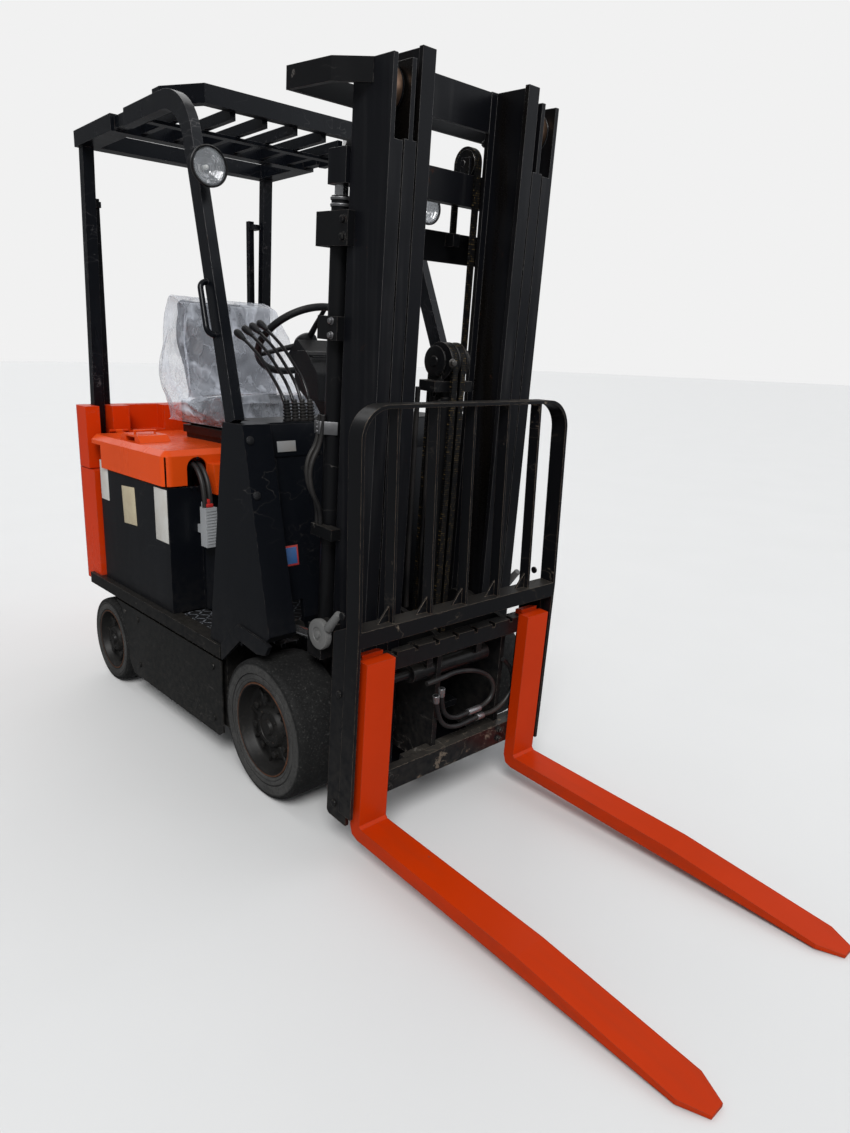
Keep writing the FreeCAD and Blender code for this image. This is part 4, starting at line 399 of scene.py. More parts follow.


# Looks: a name, the record's slot it belongs to and the function that makes the material

# The forks' orange, last of these, is the counterweight's red-orange made darker: painted shade.
ORANGE, CAST_ORANGE, SHADED_FORK_ORANGE = (0.66, 0.066, 0.006), (0.56, 0.034, 0.002), (0.44, 0.028, 0.001)
CHARCOAL = (0.0036, 0.0044, 0.0064)
LOOKS = {
    "hood_paint": ("body_orange",
                   lambda n: painted(n, user_colour("hood_colour"), 0.26, 0.1, wear=0.25, dust=0.06,
                                     grime=0.1, rust=0.1, scrapes=0.12, shine=0.15)),
    "tail_paint": ("tail_orange",
                   lambda n: painted(n, user_colour("tail_colour"), 0.30, 0.06, wear=0.35, dust=0.06,
                                     grime=0.25, rust=0.2, edge=0.004, peel=1.6, shine=0.12)),
    "fork_paint": ("fork_orange", lambda n: fork_paint(n, user_colour("fork_colour"))),
    "body_paint": ("body_black",
                   lambda n: painted(n, user_colour("body_colour"), 0.36, 0.05, bare=(0.13, 0.12, 0.11),
                                     wear=0.3, dust=0.06, grime=0.12, rust=0.15)),
    "guard_paint": ("body_black",
                    lambda n: painted(n, user_colour("body_colour"), 0.30, 0.1, bare=(0.22, 0.21, 0.21),
                                      wear=0.55, dust=0.06, grime=0.1, rust=0.1)),
    "frame_paint": ("body_black",
                    lambda n: painted(n, (0.0055, 0.0055, 0.0057), 0.45, 0.03, wear=0.5, dust=0.06,
                                      grime=0.12, rust=0.35)),
    "skirt_paint": ("body_black",
                    lambda n: painted(n, (0.0065, 0.0068, 0.0068), 0.38, 0.04, bare=(0.09, 0.08, 0.075),
                                      wear=0.35, dust=0.04, grime=0.08, rust=0.2)),
    "axle_paint": ("axle_black",
                   lambda n: painted(n, (0.009, 0.009, 0.0092), 0.45, 0.03, wear=0.45, dust=0.2, grime=0.3,
                                     rust=0.4)),
    "rack_paint": ("mast_black",
                   lambda n: painted(n, (0.0048, 0.005, 0.006), 0.34, 0.12, bare=(0.30, 0.24, 0.18),
                                     wear=0.6, dust=0.12, grime=0.1, rust=0.4, edge=0.0026)),
    "battery_case": ("battery_case",
                     lambda n: painted(n, (0.02, 0.02, 0.022), 0.55, 0.0, wear=0.4, dust=0.2, grime=0.2,
                                       rust=0.4)),
    "mast_steel": ("mast_black", mast_steel),
    "cast_black": ("mast_black",
                   lambda n: painted(n, (0.0055, 0.0057, 0.0065), 0.38, 0.08, bare=(0.26, 0.24, 0.22),
                                     wear=0.5, dust=0.12, grime=0.12, rust=0.3)),
    "black_steel": ("plastic_black",
                    lambda n: painted(n, (0.006, 0.006, 0.007), 0.3, 0.3, bare=(0.3, 0.29, 0.28), wear=0.5,
                                      dust=0.05, grime=0.0, rust=0.0, edge=0.001)),
    "steel": ("chrome_rod", lambda n: bare_metal(n, (0.20, 0.19, 0.18), 0.38)),
    "cast_grey": ("chrome_rod",
                  lambda n: painted(n, (0.13, 0.13, 0.128), 0.42, 0.0, wear=0.4, dust=0.1, grime=0.5,
                                    rust=0.2)),
    "chrome": ("chrome_rod", lambda n: bare_metal(n, (0.66, 0.66, 0.67), 0.14, (1, 1, 8), 0.12)),
    "zinc": ("chrome_rod", lambda n: bare_metal(n, (0.40, 0.40, 0.41), 0.42, (1, 1, 1), 0.15)),
    "bronze": ("greased_steel", lambda n: bare_metal(n, (0.40, 0.25, 0.17), 0.34, (1, 1, 1), 0.15)),
    "chain": ("chain_steel", leaf_chain),
    "front_rubber": ("tyre", lambda n: tyre_rubber(n, 0.0, 0.2286, 0.212)),
    "rear_rubber": ("tyre", lambda n: tyre_rubber(n, -1.22, 0.178, 0.160)),
    "front_rim": ("rim_black", lambda n: rim_paint(n, 0.0, 0.2286, 0.154)),
    "rear_rim": ("rim_black", lambda n: rim_paint(n, -1.22, 0.178, 0.127)),
    "vinyl": ("seat_vinyl", lambda n: grained(n, (0.009, 0.0088, 0.0095), 0.4, 640, 0.0002, 0.05, 0.15)),
    "plastic": ("plastic_black", lambda n: grained(n, (0.007, 0.0075, 0.009), 0.42, 700, 0.0002, 0.08)),
    "grey_plastic": ("plug_grey", lambda n: grained(n, (0.30, 0.31, 0.32), 0.5, 400, 0.0001, 0.15)),
    "red_plastic": ("plug_grey", lambda n: grained(n, (0.42, 0.02, 0.015), 0.42, 400, 0.0001, 0.1)),
    "white_plastic": ("plug_grey", lambda n: grained(n, (0.62, 0.62, 0.6), 0.45, 400, 0.0001, 0.1)),
    "rubber": ("hose_rubber", soft_rubber),
    "film": ("clear_film", clear_film),
    "glass": ("lamp_body", lens_glass),
    "mat": ("floor_mat", chequered),
    "white_plate": ("plug_grey", lambda n: printed_plate(n, (0.55, 0.55, 0.53))),
    "yellow_plate": ("plug_grey", lambda n: printed_plate(n, (0.50, 0.44, 0.30), 0.5)),
    "grey_plate": ("plug_grey", lambda n: printed_plate(n, (0.22, 0.23, 0.24))),
    "blue_sticker": ("plug_grey", lambda n: printed_plate(n, (0.03, 0.11, 0.30), 0.2)),
    "red_sticker": ("plug_grey", lambda n: printed_plate(n, (0.40, 0.03, 0.03), 0.2)),
}
NODE_LOOKS = {
    "hood_paint": ["hood", "hood_latch"], "tail_paint": ["counterweight_lower", "counterweight_upper",
                                                         "tail_foot"],
    "fork_paint": ["fork_right", "fork_left"], "body_paint": ["battery_covers", "cowl", "pillar_feet"],
    "guard_paint": ["overhead_guard", "roof_bars"], "frame_paint": ["frame"], "skirt_paint": ["skirts"],
    "axle_paint": ["knuckle_right", "knuckle_left", "steer_axle", "drive_axle", "seat_base", "pedals",
                   "tilt_barrels"],
    "rack_paint": ["backrest", "side_shift_frame"], "battery_case": ["battery"],
    "mast_steel": ["mast_outer", "mast_middle", "mast_inner"],
    "cast_black": ["mast_brackets", "lift_barrels", "free_lift_barrel", "free_lift_head", "carriage",
                   "side_shift_barrel"],
    "chrome": ["lift_rods", "tilt_rods"],
    "chain": ["free_chain_top", "free_chain_front", "free_chain_rear", "lift_chains_rear",
              "lift_chains_front", "lift_chains_top"],
    "plastic": ["dash", "levers",
                "steering_wheel"], "mat": ["floor_plate"], "grey_plastic": ["battery_connector"],
    "rubber": ["battery_cable", "mast_hoses"], "vinyl": ["seat_cushion",
                                                         "seat_back"], "film": ["seat_cover"],
    "front_rubber": ["front_tyre_right",
                     "front_tyre_left"], "rear_rubber": ["rear_tyre_right", "rear_tyre_left"],
    "front_rim": ["front_rim_right", "front_rim_left"], "rear_rim": ["rear_rim_right", "rear_rim_left"],
}
made_looks = {}


def user_colour(name):
    return tuple(getattr(bpy.context.scene.forklift, name))


def look(name):
    """The material of a look, made when it is first asked for."""
    if name not in made_looks:
        made_looks[name] = LOOKS[name][1](name)
    return made_looks[name]


# Forms: a bmesh in millimetres that becomes one piece


class Form:
    """A shape in millimetres, made with bmesh operators, that becomes one finished piece."""

    def __init__(self):
        self.mesh = bmesh.new()

    def lathe(self, profile, centre, axis, steps=48):
        """Turns points (distance along the axis, radius) about an axis through the centre."""
        axis, centre = Vector(axis).normalized(), Vector(centre)
        side = axis.orthogonal().normalized()
        spots = [self.mesh.verts.new(centre + axis * along + side * radius) for along, radius in profile]
        edges = [self.mesh.edges.new(pair) for pair in zip(spots, spots[1:])]
        bmesh.ops.spin(self.mesh, geom=spots + edges, cent=centre, axis=axis, angle=math.tau, steps=steps,
                       use_merge=True, use_duplicate=False)
        return self

    def block(self, low, high, bevel=1.5, segments=2, turn=None):
        """A box between two corners with rounded edges, turned about its middle if asked."""
        low, high = Vector(low), Vector(high)
        place = Matrix.Translation((low + high) / 2) @ (turn.to_4x4() if turn else Matrix())
        made = bmesh.ops.create_cube(self.mesh, size=1, matrix=place @ Matrix.Diagonal((*(high - low), 1)))
        self.round_edges(made["verts"], bevel, segments)
        return self

    def round_edges(self, verts, bevel, segments=2, sharper=0.5):
        """Bevels the edges of some vertices that turn by more than an angle."""
        self.mesh.normal_update()
        edges = {e for v in verts for e in v.link_edges
                 if not e.is_manifold or e.calc_face_angle(0) > sharper}
        if bevel and edges:
            bmesh.ops.bevel(self.mesh, geom=list(edges), offset=bevel, affect="EDGES", segments=segments,
                            profile=0.5, material=-1, clamp_overlap=True)

    def rod(self, start, end, radius, radius_end=None, steps=24, bevel=0.8):
        """A round bar or cone between two points."""
        start, end = Vector(start), Vector(end)
        way = end - start
        place = Matrix.Translation((start + end) / 2) @ way.to_track_quat("Z", "Y").to_matrix().to_4x4()
        made = bmesh.ops.create_cone(self.mesh, cap_ends=True, segments=steps, radius1=radius,
                                     depth=way.length,
                                     radius2=radius if radius_end is None else radius_end, matrix=place)
        self.round_edges(made["verts"], bevel, 2, 0.9)
        return self

    def bolt(self, seat, axis, across=16, head=8, washer=True):
        """A hexagon head on a washer, standing on a face."""
        seat, axis = Vector(seat), Vector(axis).normalized()
        if washer:
            self.rod(seat - axis * 0.5, seat + axis * 1.6, across * 0.72, bevel=0.4)
        base = seat + axis * (1.5 if washer else -0.5)
        self.rod(base, base + axis * head, across * 0.577, steps=6, bevel=0.9)
        self.rod(base + axis * (head - 0.5), base + axis * (head + 0.3), across * 0.42, steps=20, bevel=0)
        return self

    def sheet(self, outline, along, bevel=0.8, segments=2):
        """A flat outline of points, given thickness along a vector."""
        face = self.mesh.faces.new([self.mesh.verts.new(Vector(p)) for p in outline])
        made = bmesh.ops.extrude_face_region(self.mesh, geom=[face])
        verts = [g for g in made["geom"] if isinstance(g, bmesh.types.BMVert)]
        bmesh.ops.translate(self.mesh, verts=verts, vec=Vector(along))
        self.round_edges(verts + list(face.verts), bevel, segments)
        return self

    def ball(self, centre, radius):
        bmesh.ops.create_uvsphere(self.mesh, u_segments=28, v_segments=16, radius=radius,
                                  matrix=Matrix.Translation(centre))
        return self

    def mirrored(self):
        """The same shape on both sides of the truck."""
        bmesh.ops.mirror(self.mesh, geom=self.mesh.verts[:] + self.mesh.edges[:] + self.mesh.faces[:],
                         axis="X", merge_dist=-1)
        return self

    def done(self, name, finish, body, place=None, smooth=38.0, replaces=()):
        """Merges, faces outward, goes to metres and becomes a piece that rides on a body."""
        bmesh.ops.remove_doubles(self.mesh, verts=self.mesh.verts, dist=0.002)
        bmesh.ops.recalc_face_normals(self.mesh, faces=self.mesh.faces)
        bmesh.ops.transform(self.mesh, matrix=(place or Matrix()) @ Matrix.Diagonal((MM, MM, MM, 1)),
                            verts=self.mesh.verts)
        data = bpy.data.meshes.new(name)
        self.mesh.to_mesh(data)
        self.mesh.free()
        data.shade_smooth()
        data.set_sharp_from_angle(angle=math.radians(smooth))
        return settle(bpy.data.objects.new(name, data), finish, body, replaces)


def settle(piece, finish, body, replaces=()):
    """Links a piece, gives it its look, and rides it on a body."""
    if piece.name not in bpy.context.scene.objects:
        bpy.context.scene.collection.objects.link(piece)
    piece.data.materials.clear()
    piece.data.materials.append(look(finish))
    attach(piece, body)
    for node in replaces:
        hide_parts(node)
    return piece


def wire(name, points, thickness, finish, body, place=None, order=3):
    """A bent rod or thin wire along points in millimetres."""
    data = bpy.data.curves.new(name, "CURVE")
    data.dimensions = "3D"
    line = data.splines.new("NURBS")
    line.points.add(len(points) - 1)
    for point, p in zip(line.points, points):
        where = (place or Matrix()) @ (Vector(p) * MM)
        point.co = (*where, 1)
    line.order_u = order
    line.use_endpoint_u = True
    data.bevel_depth = thickness * MM / 2
    data.bevel_resolution = 5
    data.resolution_u = 10
    data.use_fill_caps = True
    return settle(bpy.data.objects.new(name, data), finish, body)


# Camera, light and floor

CAMERA_PLACE = (1.7106, 2.0510, 1.4064)
CAMERA_YAW, CAMERA_PITCH, CAMERA_ROLL = 3.886, -0.2417, 0.0294


def make_camera(settings):
    ahead = Vector((math.sin(CAMERA_YAW) * math.cos(CAMERA_PITCH),
                    math.cos(CAMERA_YAW) * math.cos(CAMERA_PITCH),
                    math.sin(CAMERA_PITCH)))
    right = ahead.cross(Vector((0, 0, 1))).normalized()
    up = right.cross(ahead)
    rolled = right * math.cos(CAMERA_ROLL) + up * math.sin(CAMERA_ROLL)
    upward = up * math.cos(CAMERA_ROLL) - right * math.sin(CAMERA_ROLL)
    data = bpy.data.cameras.new("camera")
    data.sensor_fit = "VERTICAL"
    data.sensor_height = 36
    data.lens = settings.lens
    data.shift_y = -0.0147
    camera = bpy.data.objects.new("camera", data)
    camera.matrix_world = Matrix.Translation(CAMERA_PLACE) @ Matrix((rolled, upward,
                                                                     -ahead)).transposed().to_4x4()
    bpy.context.scene.collection.objects.link(camera)
    bpy.context.scene.camera = camera


def make_sun(name, place, strength, spread, colour=(1, 1, 1)):
    """A wide sun that shines from a place toward the object."""
    lamp = bpy.data.lights.new(name, "SUN")
    lamp.energy, lamp.angle, lamp.color = strength, math.radians(spread), colour
    piece = bpy.data.objects.new(name, lamp)
    piece.location = place
    piece.rotation_euler = (-Vector(place)).to_track_quat("-Z", "Y").to_euler()
    bpy.context.scene.collection.objects.link(piece)


def make_world():
    """Soft light all round, darker in reflections, and a pale backdrop for what looks past the object."""
    world = bpy.context.scene.world or bpy.data.worlds.new("world")
    bpy.context.scene.world = world
    world.use_nodes = True
    tree = world.node_tree
    tree.nodes.clear()
    path = tree.nodes.new("ShaderNodeLightPath")
    seen = tree.nodes.new("ShaderNodeMath")
    seen.operation = "MAXIMUM"
    tree.links.new(path.outputs["Is Camera Ray"], seen.inputs[0])
    tree.links.new(path.outputs["Is Transmission Ray"], seen.inputs[1])
    shades = []
    for colour, strength in (((0.95, 0.97, 1.0, 1), 0.42), ((0.95, 0.97, 1.0, 1), 0.13),
                             ((0.88, 0.88, 0.88, 1), 1.0)):
        shade = tree.nodes.new("ShaderNodeBackground")
        shade.inputs["Color"].default_value, shade.inputs["Strength"].default_value = colour, strength
        shades.append(shade)
    mirrored, either = tree.nodes.new("ShaderNodeMixShader"), tree.nodes.new("ShaderNodeMixShader")
    out = tree.nodes.new("ShaderNodeOutputWorld")
    tree.links.new(path.outputs["Is Glossy Ray"], mirrored.inputs[0])
    tree.links.new(shades[0].outputs[0], mirrored.inputs[1])
    tree.links.new(shades[1].outputs[0], mirrored.inputs[2])
    tree.links.new(seen.outputs[0], either.inputs[0])
    tree.links.new(mirrored.outputs[0], either.inputs[1])
    tree.links.new(shades[2].outputs[0], either.inputs[2])
    tree.links.new(either.outputs[0], out.inputs["Surface"])


def make_floor():
    form = bmesh.new()
    bmesh.ops.create_grid(form, x_segments=4, y_segments=4, size=60)
    data = bpy.data.meshes.new("floor")
    form.to_mesh(data)
    form.free()
    floor = bpy.data.objects.new("floor", data)
    bpy.context.scene.collection.objects.link(floor)
    finish = Finish("floor_concrete")
    cloud = finish.noise(1.6, 5)
    data.materials.append(finish.surface({
        "Base Color": finish.mix(cloud, (0.645, 0.645, 0.64, 1),
                                 (0.675, 0.675, 0.67, 1)), "Roughness": 0.7 + cloud * 0.1}))
    floor.visible_glossy = False


# Cords

CABLE_POINTS = [(0, -752, 880.3), (0, -752, 956), (0, -670.5, 1002), (0, -589, 924), (0, -589, 838.3)]
HOSE_POINTS = [(0, 0, 1225), (0, 0, 1150), (42, -4, 1090), (40, 6, 1015), (4, 8, 960), (4, 8, 897)]


def make_cord(name, points, thickness, finish, body, node, place=None, **facts):
    piece = wire(name, points, thickness, finish, body, place)
    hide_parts(node)
    return piece


def make_cords():
    for x in (349, 371):
        points = [(x, y, z) for _, y, z in CABLE_POINTS]
        make_cord("battery_cable_%d" % x, points, 18, "rubber", "chassis", "battery_cable", length=0.335,
                  far_end="connector", stiffness="stiff", lay="taut",
                  with_pieces=[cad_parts["battery_connector"]])
    drop = (0, 0, 12, 14, 16, 0)
    for i, y in enumerate((26, 44)):
        points = [(336 + dx, y + dy, z - drop[k] * i) for k, (dx, dy, z) in enumerate(HOSE_POINTS)]
        make_cord("mast_hose_%d" % i, points, 14, "rubber", "mast_outer", "mast_hoses", MAST, length=0.34,
                  far_end="object", stiffness="medium", lay="hanging")


# Wheels


def make_wheel(side, axle, body):
    """Tyre, rim, nuts and hub cap of one wheel. side is 1 for right and -1 for left."""
    front = axle == "front"
    radius, width, bore, y = (228.6, 178, 154, 0) if front else (178, 127, 127, -1220)
    face, hub, circle, nuts = (464, 60, 92, 8) if front else (476, 46, 74, 5)
    back, word = 506 - width, "right" if side > 0 else "left"
    centre, axis = (0, y, radius), (side, 0, 0)
    edge = 12 if front else 14
    shoulder = radius - edge
    tyre = [(back + 2, bore), (back, bore + 8), (back, shoulder - 4), (back + 4, radius - 4),
            (back + edge + 4, radius - 0.4), (back + edge + 14, radius), (492 - edge, radius),
            (502 - edge, radius - 0.6), (500, radius - 3.6), (503.6, radius - 7), (505.4, radius - 12),
            (506, radius - 17), (506, bore + 30), (503.4, bore + 28.8), (503.2, bore + 26),
            (505.8, bore + 24.6), (506, bore + 10), (505, bore + 4), (502, bore + 1.2), (500, bore),
            (back + 2, bore)]
    form = Form().lathe(tyre, centre, axis, 112)
    form.done("%s_tyre_form_%s" % (axle, word), axle + "_rubber", body,
              replaces=["%s_tyre_%s" % (axle, word)])
    ring = bore - 14
    rim = [(394, 0), (394, ring), (back + 6, ring), (back + 6, bore - 0.4), (502, bore - 0.4),
           (503.5, bore - 1.6), (503.5, bore - 6), (501, bore - 9), (496, bore - 10), (490, ring + 0.6),
           (face + 4, ring - 2), (face - 2, ring - 7), (face - 6, ring - 14), (face - 6, circle + 20),
           (face - 2, circle + 16), (face + 1, circle + 10), (face + 1, hub + 12), (face + 6, hub + 7),
           (face + 16, hub + 3), (face + 18, hub), (face + 18, hub - 12), (face + 15, hub - 14),
           (face + 15, hub * 0.46), (face + 18, hub * 0.42), (face + 24, hub * 0.36),
           (face + 25, hub * 0.2), (face + 25, 0)]
    form = Form().lathe(rim, centre, axis, 96)
    form.done("%s_rim_form_%s" % (axle, word), axle + "_rim", body, replaces=["%s_rim_%s" % (axle, word)])
    form = Form()
    for i in range(nuts):
        angle = math.tau * (i + 0.3) / nuts
        out = Vector((0, math.cos(angle), math.sin(angle)))
        spot = Vector((side * (face + 0.6), y, radius)) + out * circle
        form.bolt(spot, axis, 22, 11)
        half = angle + math.pi / nuts
        way = Vector((0, math.cos(half), math.sin(half)))
        rib = Vector((side * (face - 3), y, radius))
        form.rod(rib + way * (hub + 8), rib + way * (ring - 9), 7.5, 5.5, steps=14)
        cap = Vector((side * (face + 16), y, radius)) + way * (hub - 7)
        form.bolt(cap, axis, 9, 5, washer=False)
    form.done("%s_nuts_%s" % (axle, word), axle + "_rim", body)


# Seat


def make_pad(settings, name, node, shrink=5.0, cap=0.012, voxel=0.006):
    """A stuffed pad blown up inside a copy of its CAD solid."""
    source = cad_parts[node]
    form = bmesh.new()
    form.from_mesh(source.data)
    bmesh.ops.remove_doubles(form, verts=form.verts, dist=0.00005)
    bmesh.ops.recalc_face_normals(form, faces=form.faces)
    data = bpy.data.meshes.new(name)
    form.to_mesh(data)
    form.free()
    piece = bpy.data.objects.new(name, data)
    bpy.context.scene.collection.objects.link(piece)
    remesh = piece.modifiers.new("remesh", "REMESH")
    remesh.mode, remesh.voxel_size = "VOXEL", voxel
    bake(piece)
    form = bmesh.new()
    form.from_mesh(piece.data)
    form.normal_update()
    for vert in form.verts:
        vert.co -= vert.normal * shrink * MM
    for _ in range(6):
        bmesh.ops.smooth_vert(form, verts=form.verts, factor=0.5, use_axis_x=True, use_axis_y=True,
                              use_axis_z=True)
    form.to_mesh(piece.data)
    form.free()
    inflate(piece, settings.pad_pressure, cap)
    form = bmesh.new()
    form.from_mesh(piece.data)
    for _ in range(2):
        bmesh.ops.smooth_vert(form, verts=form.verts, factor=0.5, use_axis_x=True, use_axis_y=True,
                              use_axis_z=True)
    form.to_mesh(piece.data)
    form.free()
    piece.data.shade_smooth()
    settle(piece, "vinyl", "hood", [node])
    return piece


def bake(piece):
    """Replaces a piece's mesh by what its modifiers make of it."""
    graph = bpy.context.evaluated_depsgraph_get()
    result = bpy.data.meshes.new_from_object(piece.evaluated_get(graph))
    piece.modifiers.clear()
    old = piece.data
    piece.data = result
    result.name = piece.name
    bpy.data.meshes.remove(old)


def inflate(piece, pressure, cap):
    """Blows a closed mesh up as cloth and limits how far a point may move."""
    before = [v.co.copy() for v in piece.data.vertices]
    cloth = piece.modifiers.new("cloth", "CLOTH")
    cloth.settings.use_pressure = True
    cloth.settings.uniform_pressure_force = pressure
    cloth.settings.effector_weights.gravity = 0
    cloth.point_cache.frame_start, cloth.point_cache.frame_end = 1, 20
    run_frames(20)
    bake(piece)
    for vert, start in zip(piece.data.vertices, before):
        move = vert.co - start
        if move.length > cap:
            vert.co = start + move.normalized() * cap
    bpy.context.scene.frame_set(1)


def run_frames(count):
    for number in range(1, count + 1):
        bpy.context.scene.frame_set(number)


# The bag's outline from the side: y and z
BAG_SIDE = [(-1168, 1108), (-1174, 1230), (-1172, 1400), (-1150, 1540), (-1118, 1606), (-1068, 1622),
            (-1018, 1604), (-978, 1520), (-950, 1400), (-930, 1290), (-912, 1245), (-860, 1226),
            (-760, 1238), (-690, 1236), (-648, 1205), (-638, 1150), (-644, 1108)]


def make_bag(settings):
    """A loose clear bag over seat back and cushion, buckled into folds by a cloth simulation."""
    middle = Vector((0, -1000, 1300))
    form = bmesh.new()
    rings = []
    for x, pull in ((-224, 0.90), (-232, 0.97), (-220, 1.0), (-110, 1.0), (0, 1.0), (110, 1.0), (220, 1.0),
                    (232, 0.97), (224, 0.90)):
        spots = []
        for y, z in BAG_SIDE:
            high, aside = max(0.0, (z - 1200) / 420), (225 - x) / 450
            sunk = aside * 0.16 * max(0.0, z - 1300)
            gathered = 0 if pull == 1 else (z - 1108) * (1 - pull) * 0.6
            spots.append(form.verts.new((x * (1 - 0.06 * high),
                                         middle.y + (y - middle.y) * pull - 25 * aside * high,
                                         z - sunk - gathered)))
        rings.append([form.edges.new(pair) for pair in zip(spots, spots[1:])])
    for first, second in zip(rings, rings[1:]):
        bmesh.ops.bridge_loops(form, edges=first + second)
    for ring in (rings[0], rings[-1]):
        verts = sorted({v for e in ring for v in e.verts}, key=lambda v: v.index)
        form.verts.index_update()
        form.faces.new([ring[0].verts[0]] + [e.verts[1] for e in ring])
    bmesh.ops.triangulate(form, faces=[f for f in form.faces if len(f.verts) > 4])
    for _ in range(4):
        long = [e for e in form.edges if e.calc_length() > 26]
        if not long:
            break
        bmesh.ops.subdivide_edges(form, edges=long, cuts=1, use_grid_fill=True)
    bmesh.ops.recalc_face_normals(form, faces=form.faces)
    bmesh.ops.transform(form, matrix=Matrix.Diagonal((MM, MM, MM, 1)), verts=form.verts)
    data = bpy.data.meshes.new("seat_bag")
    form.to_mesh(data)
    form.free()
    piece = bpy.data.objects.new("seat_bag", data)
    bpy.context.scene.collection.objects.link(piece)
    shape_bag(piece)
    soften = piece.modifiers.new("soften", "SUBSURF")
    soften.levels = soften.render_levels = 1
    bake(piece)
    piece.data.shade_smooth()
    settle(piece, "film", "hood", ["seat_cover"])
    return piece


def shape_bag(piece):
    """Lets the film grow in its own plane, so that it buckles over the seat."""
    holders = []
    for name in ("seat_back_pad", "seat_cushion_pad"):
        holder = bpy.data.objects[name]
        touch = holder.modifiers.new("touch", "COLLISION")
        holder.collision.thickness_outer = 0.004
        holders.append((holder, touch))
    pins = piece.vertex_groups.new(name="hem")
    pins.add([v.index for v in piece.data.vertices if v.co.z < 1.115], 1.0, "REPLACE")
    cloth = piece.modifiers.new("cloth", "CLOTH")
    cloth.settings.quality = 6
    cloth.settings.mass = 0.15
    cloth.settings.tension_stiffness = cloth.settings.compression_stiffness = 30
    cloth.settings.shear_stiffness = 12
    cloth.settings.bending_stiffness = 0.25
    cloth.settings.shrink_min = -0.07
    cloth.settings.vertex_group_mass = "hem"
    cloth.settings.effector_weights.gravity = 0.25
    cloth.collision_settings.distance_min = 0.003
    cloth.point_cache.frame_start, cloth.point_cache.frame_end = 1, 24
    run_frames(24)
    bake(piece)
    for holder, touch in holders:
        holder.modifiers.remove(touch)
    bpy.context.scene.frame_set(1)


def make_seat_fittings():
    form = Form()
    for x in (-205, 205):
        form.rod((x - 6, -1048, 1160), (x + 6, -1048, 1160), 26, bevel=2)
    form.block((-214, -1070, 1100), (-202, -1020, 1190), 3).block((202, -1070, 1100), (214, -1020, 1190), 3)
    form.done("seat_hinges", "plastic", "hood")
    form = Form()
    form.rod((205, -760, 1066), (205, -640, 1066), 5).ball((205, -636, 1066), 11)
    form.done("slide_lever", "plastic", "hood")


# Steering wheel, levers and dash

WHEEL_CENTRE = Vector((0, -492, 1438))
WHEEL_AXIS = Vector((0, -math.sin(math.radians(40)), math.cos(math.radians(40))))


def make_steering_wheel():
    side = Vector((1, 0, 0))
    ahead = WHEEL_AXIS.cross(side)
    form = Form()
    grip = [(13 * math.sin(a), 178 + 13 * math.cos(a)) for a in [math.tau * i / 16 for i in range(16)]]
    form.lathe(grip + grip[:1], WHEEL_CENTRE, WHEEL_AXIS, 120)
    for angle in (90, 210, 330):
        out = side * math.cos(math.radians(angle)) + ahead * math.sin(math.radians(angle))
        form.rod(WHEEL_CENTRE + out * 24 - WHEEL_AXIS * 14, WHEEL_CENTRE + out * 100 - WHEEL_AXIS * 5, 12,
                 9)
        form.rod(WHEEL_CENTRE + out * 96 - WHEEL_AXIS * 5.5, WHEEL_CENTRE + out * 172, 9, 7.5)
    form.lathe([(-30, 0), (-30, 34), (-24, 38), (-16, 44), (-6, 45), (4, 38), (8, 30), (9, 27), (7, 26),
                (7, 22), (11, 20), (13, 10), (13.5, 0)],
               WHEEL_CENTRE, WHEEL_AXIS, 48)
    form.done("steering_wheel_form", "plastic", "steering_wheel", replaces=["steering_wheel"])
    knob = WHEEL_CENTRE + side * -126 + ahead * 118
    form = Form().lathe([(10, 0), (10, 9), (16, 9), (20, 17), (36, 21), (46, 18), (52, 8), (53, 0)], knob,
                        WHEEL_AXIS, 32)
    form.done("steering_knob", "plastic", "steering_wheel")


LEVERS = [(214, -140, 22), (243, -140, 12), (272, -140, 2), (302, -140, -12)]


def make_levers():
    for i, (x, y, reach) in enumerate(LEVERS):
        rod = [(x, y, 1190), (x, y - 12, 1262 + reach), (x, y - 92, 1332 + reach),
               (x, y - 170, 1400 + reach), (x, y - 250, 1440 + reach), (x, y - 284, 1455 + reach)]
        wire("lever_rod_%d" % i, rod, 11, "black_steel", "chassis", order=4)
        knob = Form().lathe([(-6, 0), (-6, 7), (6, 8), (20, 11), (38, 13), (50, 12), (57, 8), (59, 0)],
                            (x, y - 262, 1446 + reach), (0, -0.9, 0.43), 28)
        knob.done("lever_knob_%d" % i, "plastic", "chassis", replaces=["levers"] if i == 0 else ())
        ribs = [(0, 0), (0, 14)]
        for k in range(6):
            low, wide, narrow = 10 * k, 14.6 - 0.4 * k, 10.5 - 0.4 * k
            ribs += [(3 + low, wide), (6.5 + low, wide), (8 + low, narrow), (10.5 + low, narrow)]
        ribs += [(64, 9), (68, 7), (69, 0)]
        Form().lathe(ribs, (x, y, 1182.2), (0, -0.1, 1), 32).done("lever_boot_%d" % i, "rubber", "chassis")


def make_dash():
    form = Form()
    for k in range(6):
        form.block((-126, -322 + 18 * k, 1396 - 6 * max(0, k - 2)),
                   (146, -313 + 18 * k, 1402 - 6 * max(0, k - 2)), 2)
    form.done("dash_ribs", "plastic", "chassis")
    form = Form().lathe([(0, 0), (0, 27), (5, 28), (7, 25), (5, 22), (4, 0)], (-70, -330, 1350),
                        (0, -1, 0.1), 40)
    form.done("hour_dial_ring", "zinc", "chassis")
    form = Form().lathe([(0, 0), (0, 13), (7, 14), (9, 12), (9, 0)], (96, -330, 1350), (0, -1, 0.1), 32)
    form.block((94, -352, 1342), (98, -336, 1360), 1)
    form.done("key_switch", "zinc", "chassis")


# Headlamps

LAMP_PLACE = (447, -368.4, 1932.2)


